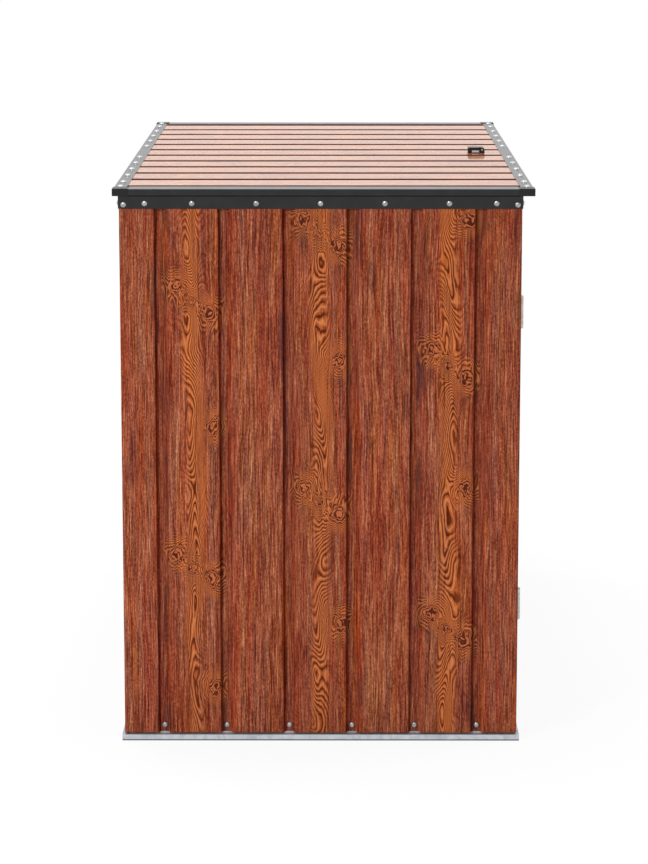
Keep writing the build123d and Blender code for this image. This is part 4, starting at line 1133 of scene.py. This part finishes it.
class FastenerTree:
    """A node tree that sets a domed fastener on each point of a mesh, along the point's facing."""

    SIZES = ("Head Radius", "Head Rim", "Dome Height", "Shank Radius", "Shank Length", "Nut Radius")
    DOME_RINGS = 14
    DOME_CUT = -1e-5
    SHANK_SIDES = 12
    NUT_SIDES = 6
    NUT_HEIGHT_SHARE = 0.9
    NUT_INSET_SHARE = 0.6

    def __init__(self, name: str, material: bpy.types.Material, segments: int) -> None:
        """Build the tree.

        Args:
            name: the tree's name.
            material: the finish of the fasteners.
            segments: how many sides a round form has.
        """
        self.group = bpy.data.node_groups.new(name, "GeometryNodeTree")
        face = self.group.interface
        face.new_socket("Geometry", in_out="INPUT", socket_type="NodeSocketGeometry")
        self.inputs = {}
        for label in self.SIZES:
            made = face.new_socket(label, in_out="INPUT", socket_type="NodeSocketFloat")
            self.inputs[label] = made.identifier
        face.new_socket("Geometry", in_out="OUTPUT", socket_type="NodeSocketGeometry")
        self.entry = self.group.nodes.new("NodeGroupInput").outputs
        self.scatter(self.fastener(segments), material)

    def add(self, kind: str, links: dict, **settings: object) -> bpy.types.Node:
        """Add a node.

        Args:
            kind: the node's type.
            links: a link or a plain value for each input socket.
            **settings: the node's own settings.

        Returns:
            The node.
        """
        node = self.group.nodes.new(kind)
        for key, setting in settings.items():
            setattr(node, key, setting)
        for key, given in links.items():
            if isinstance(given, bpy.types.NodeSocket):
                self.group.links.new(given, node.inputs[key])
            else:
                node.inputs[key].default_value = given
        return node

    def lifted(self, mesh: bpy.types.NodeSocket, height: bpy.types.NodeSocket) -> bpy.types.NodeSocket:
        """Move a mesh along its axis by a height."""
        move = self.add("ShaderNodeCombineXYZ", {"Z": height}).outputs[0]
        return self.add("GeometryNodeTransform", {"Geometry": mesh, "Translation": move}).outputs[0]

    def scaled(self, number: bpy.types.NodeSocket, factor: float) -> bpy.types.NodeSocket:
        """Multiply a size by a plain number."""
        return self.add("ShaderNodeMath", {0: number, 1: factor}, operation="MULTIPLY").outputs[0]

    def rod(
        self, radius: bpy.types.NodeSocket, length: bpy.types.NodeSocket, sides: int
    ) -> bpy.types.NodeSocket:
        """A closed rod about the axis, with its middle at nought."""
        links = {"Vertices": sides, "Radius": radius, "Depth": length}
        return self.add("GeometryNodeMeshCylinder", links).outputs["Mesh"]

    def dome(self, segments: int) -> bpy.types.NodeSocket:
        """Model the round top of a head, cut off at its rim.

        Args:
            segments: how many sides it has.

        Returns:
            The geometry.
        """
        radius, height = self.entry["Head Radius"], self.entry["Dome Height"]
        links = {"Segments": segments, "Rings": self.DOME_RINGS, "Radius": 1.0}
        ball = self.add("GeometryNodeMeshUVSphere", links)
        spread = self.add("ShaderNodeCombineXYZ", {"X": radius, "Y": radius, "Z": height})
        links = {"Geometry": ball.outputs["Mesh"], "Scale": spread.outputs[0]}
        dome = self.add("GeometryNodeTransform", links).outputs[0]
        place = self.add("GeometryNodeInputPosition", {}).outputs[0]
        level = self.add("ShaderNodeSeparateXYZ", {0: place}).outputs["Z"]
        under = self.add("FunctionNodeCompare", {0: level, 1: self.DOME_CUT}, operation="LESS_THAN")
        links = {"Geometry": dome, "Selection": under.outputs[0]}
        dome = self.add("GeometryNodeDeleteGeometry", links).outputs[0]
        dome = self.lifted(dome, self.entry["Head Rim"])
        return self.add("GeometryNodeSetShadeSmooth", {"Geometry": dome}).outputs[0]

    def fastener(self, segments: int) -> bpy.types.NodeSocket:
        """Model one fastener, with the underside of its head at nought.

        Args:
            segments: how many sides a round form has.

        Returns:
            The geometry.
        """
        rim, length = self.entry["Head Rim"], self.entry["Shank Length"]
        dome = self.dome(segments)
        flange = self.rod(self.entry["Head Radius"], rim, segments)
        flange = self.lifted(flange, self.scaled(rim, 0.5))
        shank = self.rod(self.entry["Shank Radius"], length, self.SHANK_SIDES)
        shank = self.lifted(shank, self.scaled(length, -0.5))
        nut_height = self.scaled(self.entry["Nut Radius"], self.NUT_HEIGHT_SHARE)
        nut_drop = {0: length, 1: self.scaled(nut_height, self.NUT_INSET_SHARE)}
        nut_level = self.add("ShaderNodeMath", nut_drop, operation="SUBTRACT").outputs[0]
        nut = self.rod(self.entry["Nut Radius"], nut_height, self.NUT_SIDES)
        nut = self.lifted(nut, self.scaled(nut_level, -1.0))
        joined = self.group.nodes.new("GeometryNodeJoinGeometry")
        for piece in (dome, flange, shank, nut):
            self.group.links.new(piece, joined.inputs[0])
        return joined.outputs[0]

    def scatter(self, fastener: bpy.types.NodeSocket, material: bpy.types.Material) -> None:
        """Set the fastener on every point, turned to the point's facing.

        Args:
            fastener: the geometry of one fastener.
            material: its finish.
        """
        way = self.add("GeometryNodeInputNamedAttribute", {"Name": "facing"}, data_type="FLOAT_VECTOR")
        turn = self.add("FunctionNodeAlignRotationToVector", {"Vector": way.outputs["Attribute"]}, axis="Z")
        size = self.add("GeometryNodeInputNamedAttribute", {"Name": "spread"}, data_type="FLOAT_VECTOR")
        links = {
            "Points": self.entry["Geometry"],
            "Instance": fastener,
            "Rotation": turn.outputs["Rotation"],
            "Scale": size.outputs["Attribute"],
        }
        spread = self.add("GeometryNodeInstanceOnPoints", links)
        real = self.add("GeometryNodeRealizeInstances", {"Geometry": spread.outputs[0]})
        finish = self.add("GeometryNodeSetMaterial", {"Geometry": real.outputs[0], "Material": material})
        output = self.group.nodes.new("NodeGroupOutput")
        self.group.links.new(finish.outputs[0], output.inputs[0])


@dataclass(frozen=True)
class Lamp:
    """A soft lamp: where it stands, how wide and strong it is, and what it is kept to, if anything."""

    name: str
    place: tuple[float, float, float]
    width: float
    power: float
    mirrored: bool = False
    only: tuple[str, ...] = ()
    aim: tuple[float, float, float] = (0.0, 0.0, 0.55)

    def build(self) -> None:
        """Hang the lamp, aim it, and keep it to some pieces where it is only for them."""
        light = bpy.data.lights.new(self.name, "AREA")
        light.shape = "DISK"
        light.size = self.width
        light.energy = self.power
        lamp = bpy.data.objects.new(self.name, light)
        lamp.visible_glossy = self.mirrored
        lamp.location = self.place
        way = Vector(self.aim) - Vector(self.place)
        lamp.rotation_euler = way.to_track_quat("-Z", "Y").to_euler()
        bpy.context.scene.collection.objects.link(lamp)
        if self.only:
            lit = bpy.data.collections.new(f"{self.name}_pieces")
            for name in self.only:
                lit.objects.link(bpy.data.objects[name])
            lamp.light_linking.receiver_collection = lit


@dataclass
class Studio:
    """A plain pale studio: floor, soft lamps and a white background."""

    floor_half: float = 40.0
    floor_colour: Colour = (0.86, 0.86, 0.86)
    floor_glow: float = 0.9
    floor_fade: Ends = (1.2, 3.5)
    inner_glow: float = 0.12
    wall_zone: float = 0.012
    ambient: float = 0.28
    lamps: tuple[Lamp, ...] = (
        Lamp("key_lamp", (-4.9, 3.1, 2.7), 1.3, 173.0),
        Lamp("glint_lamp", (-4.4, 1.4, 4.2), 1.3, 150.0, True, ("domed_bolts", "lid_screws")),
        Lamp("fill_lamp", (-4.6, -3.2, 2.0), 3.0, 12.0),
        Lamp("front_lamp", (1.2, -5.0, 2.6), 3.0, 142.0),
        Lamp("right_lamp", (5.2, -0.4, 2.6), 3.0, 60.0),
        Lamp("back_lamp", (3.6, 3.8, 2.8), 3.0, 110.0),
        Lamp("top_lamp", (0.0, 0.4, 5.0), 3.0, 172.0),
    )

    def build(self) -> None:
        """Build the floor, the world and the lamps."""
        self.floor()
        self.world()
        for lamp in self.lamps:
            lamp.build()

    def floor(self) -> None:
        """Lay the floor, which shows white with the shadow left on it, and dim inside the open box."""
        half = self.floor_half
        mesh = bpy.data.meshes.new("studio_floor")
        points = [(-half, -half, 0.0), (half, -half, 0.0), (half, half, 0.0), (-half, half, 0.0)]
        mesh.from_pydata(points, [], [(0, 1, 2, 3)])
        floor = bpy.data.objects.new("studio_floor", mesh)
        bpy.context.scene.collection.objects.link(floor)
        graph = Graph(bpy.data.materials.new("studio_floor"))
        paper = graph.node("ShaderNodeBsdfDiffuse", {}, {"Color": self.floor_colour})
        white = graph.node("ShaderNodeEmission", {}, {"Color": WHITE, "Strength": 1.0})
        x, y, _ = graph.place()
        away = (x * x + y * y).root().ease(*self.floor_fade)
        glow = self.floor_glow + away * (1 - self.floor_glow)
        left, back, right, front = self.footprint()
        beside = x.ease(left, left - self.wall_zone).most(x.ease(right, right + self.wall_zone))
        before = y.ease(front, front - self.wall_zone).most(y.ease(back, back + self.wall_zone))
        outside = beside.most(before)
        glow = glow * (self.inner_glow + outside * (1 - self.inner_glow))
        inputs = {0: graph.shown() * glow, 1: paper, 2: white}
        graph.close(graph.node("ShaderNodeMixShader", {}, inputs), "ShaderNodeOutputMaterial")
        mesh.materials.append(graph.owner)

    def footprint(self) -> tuple[float, float, float, float]:
        """Where the open bottom of the box begins: the left, back, right and front edges of its floor.

        Returns:
            The four edges, halfway across the rails that stand on the floor.
        """
        edges = []
        rails = (
            ("base_rail_left", Axis.X),
            ("base_rail_back", Axis.Y),
            ("base_rail_right", Axis.X),
            ("base_sill", Axis.Y),
        )
        for name, axis in rails:
            low, high = corners(name)
            edges.append((low[axis.value] + high[axis.value]) / 2)
        return edges[0], edges[1], edges[2], edges[3]

    def world(self) -> None:
        """Set soft light all round, with a white background for the camera and for reflections."""
        world = bpy.data.worlds.new("studio_world")
        bpy.context.scene.world = world
        graph = Graph(world)
        soft = graph.node("ShaderNodeBackground", {}, {"Color": WHITE, "Strength": self.ambient})
        white = graph.node("ShaderNodeBackground", {}, {"Color": WHITE, "Strength": 1.0})
        inputs = {0: graph.shown(), 1: soft, 2: white}
        graph.close(graph.node("ShaderNodeMixShader", {}, inputs), "ShaderNodeOutputWorld")


@dataclass
class SideCamera:
    """The camera at the left side of the box, a little above its lid."""

    place: tuple[float, float, float] = (-6.5296, -0.0141, 1.7617)
    pitch: float = 0.1766
    yaw: float = 0.0023
    lens: float = 121.5
    sensor: float = 36.0
    shift: float = -0.05

    def build(self) -> None:
        """Stand the camera and make it the scene's own."""
        data = bpy.data.cameras.new("side_camera")
        data.sensor_width = self.sensor
        data.lens = self.lens
        data.shift_y = self.shift
        camera = bpy.data.objects.new("side_camera", data)
        flat = math.cos(self.pitch)
        way = Vector((flat * math.cos(self.yaw), flat * math.sin(self.yaw), -math.sin(self.pitch)))
        camera.location = self.place
        camera.rotation_euler = way.to_track_quat("-Z", "Y").to_euler()
        bpy.context.scene.collection.objects.link(camera)
        bpy.context.scene.camera = camera


def main() -> None:
    """Dress the box, build its fasteners and set the studio."""
    logging.basicConfig(level=logging.INFO, format="%(name)s: %(message)s")
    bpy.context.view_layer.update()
    bpy.context.scene.view_settings.view_transform = "Standard"
    Cladding().dress()
    Trim().dress()
    Fasteners().build()
    Studio().build()
    SideCamera().build()
    LOG.info("scene built")


if __name__ == "__main__":
    main()
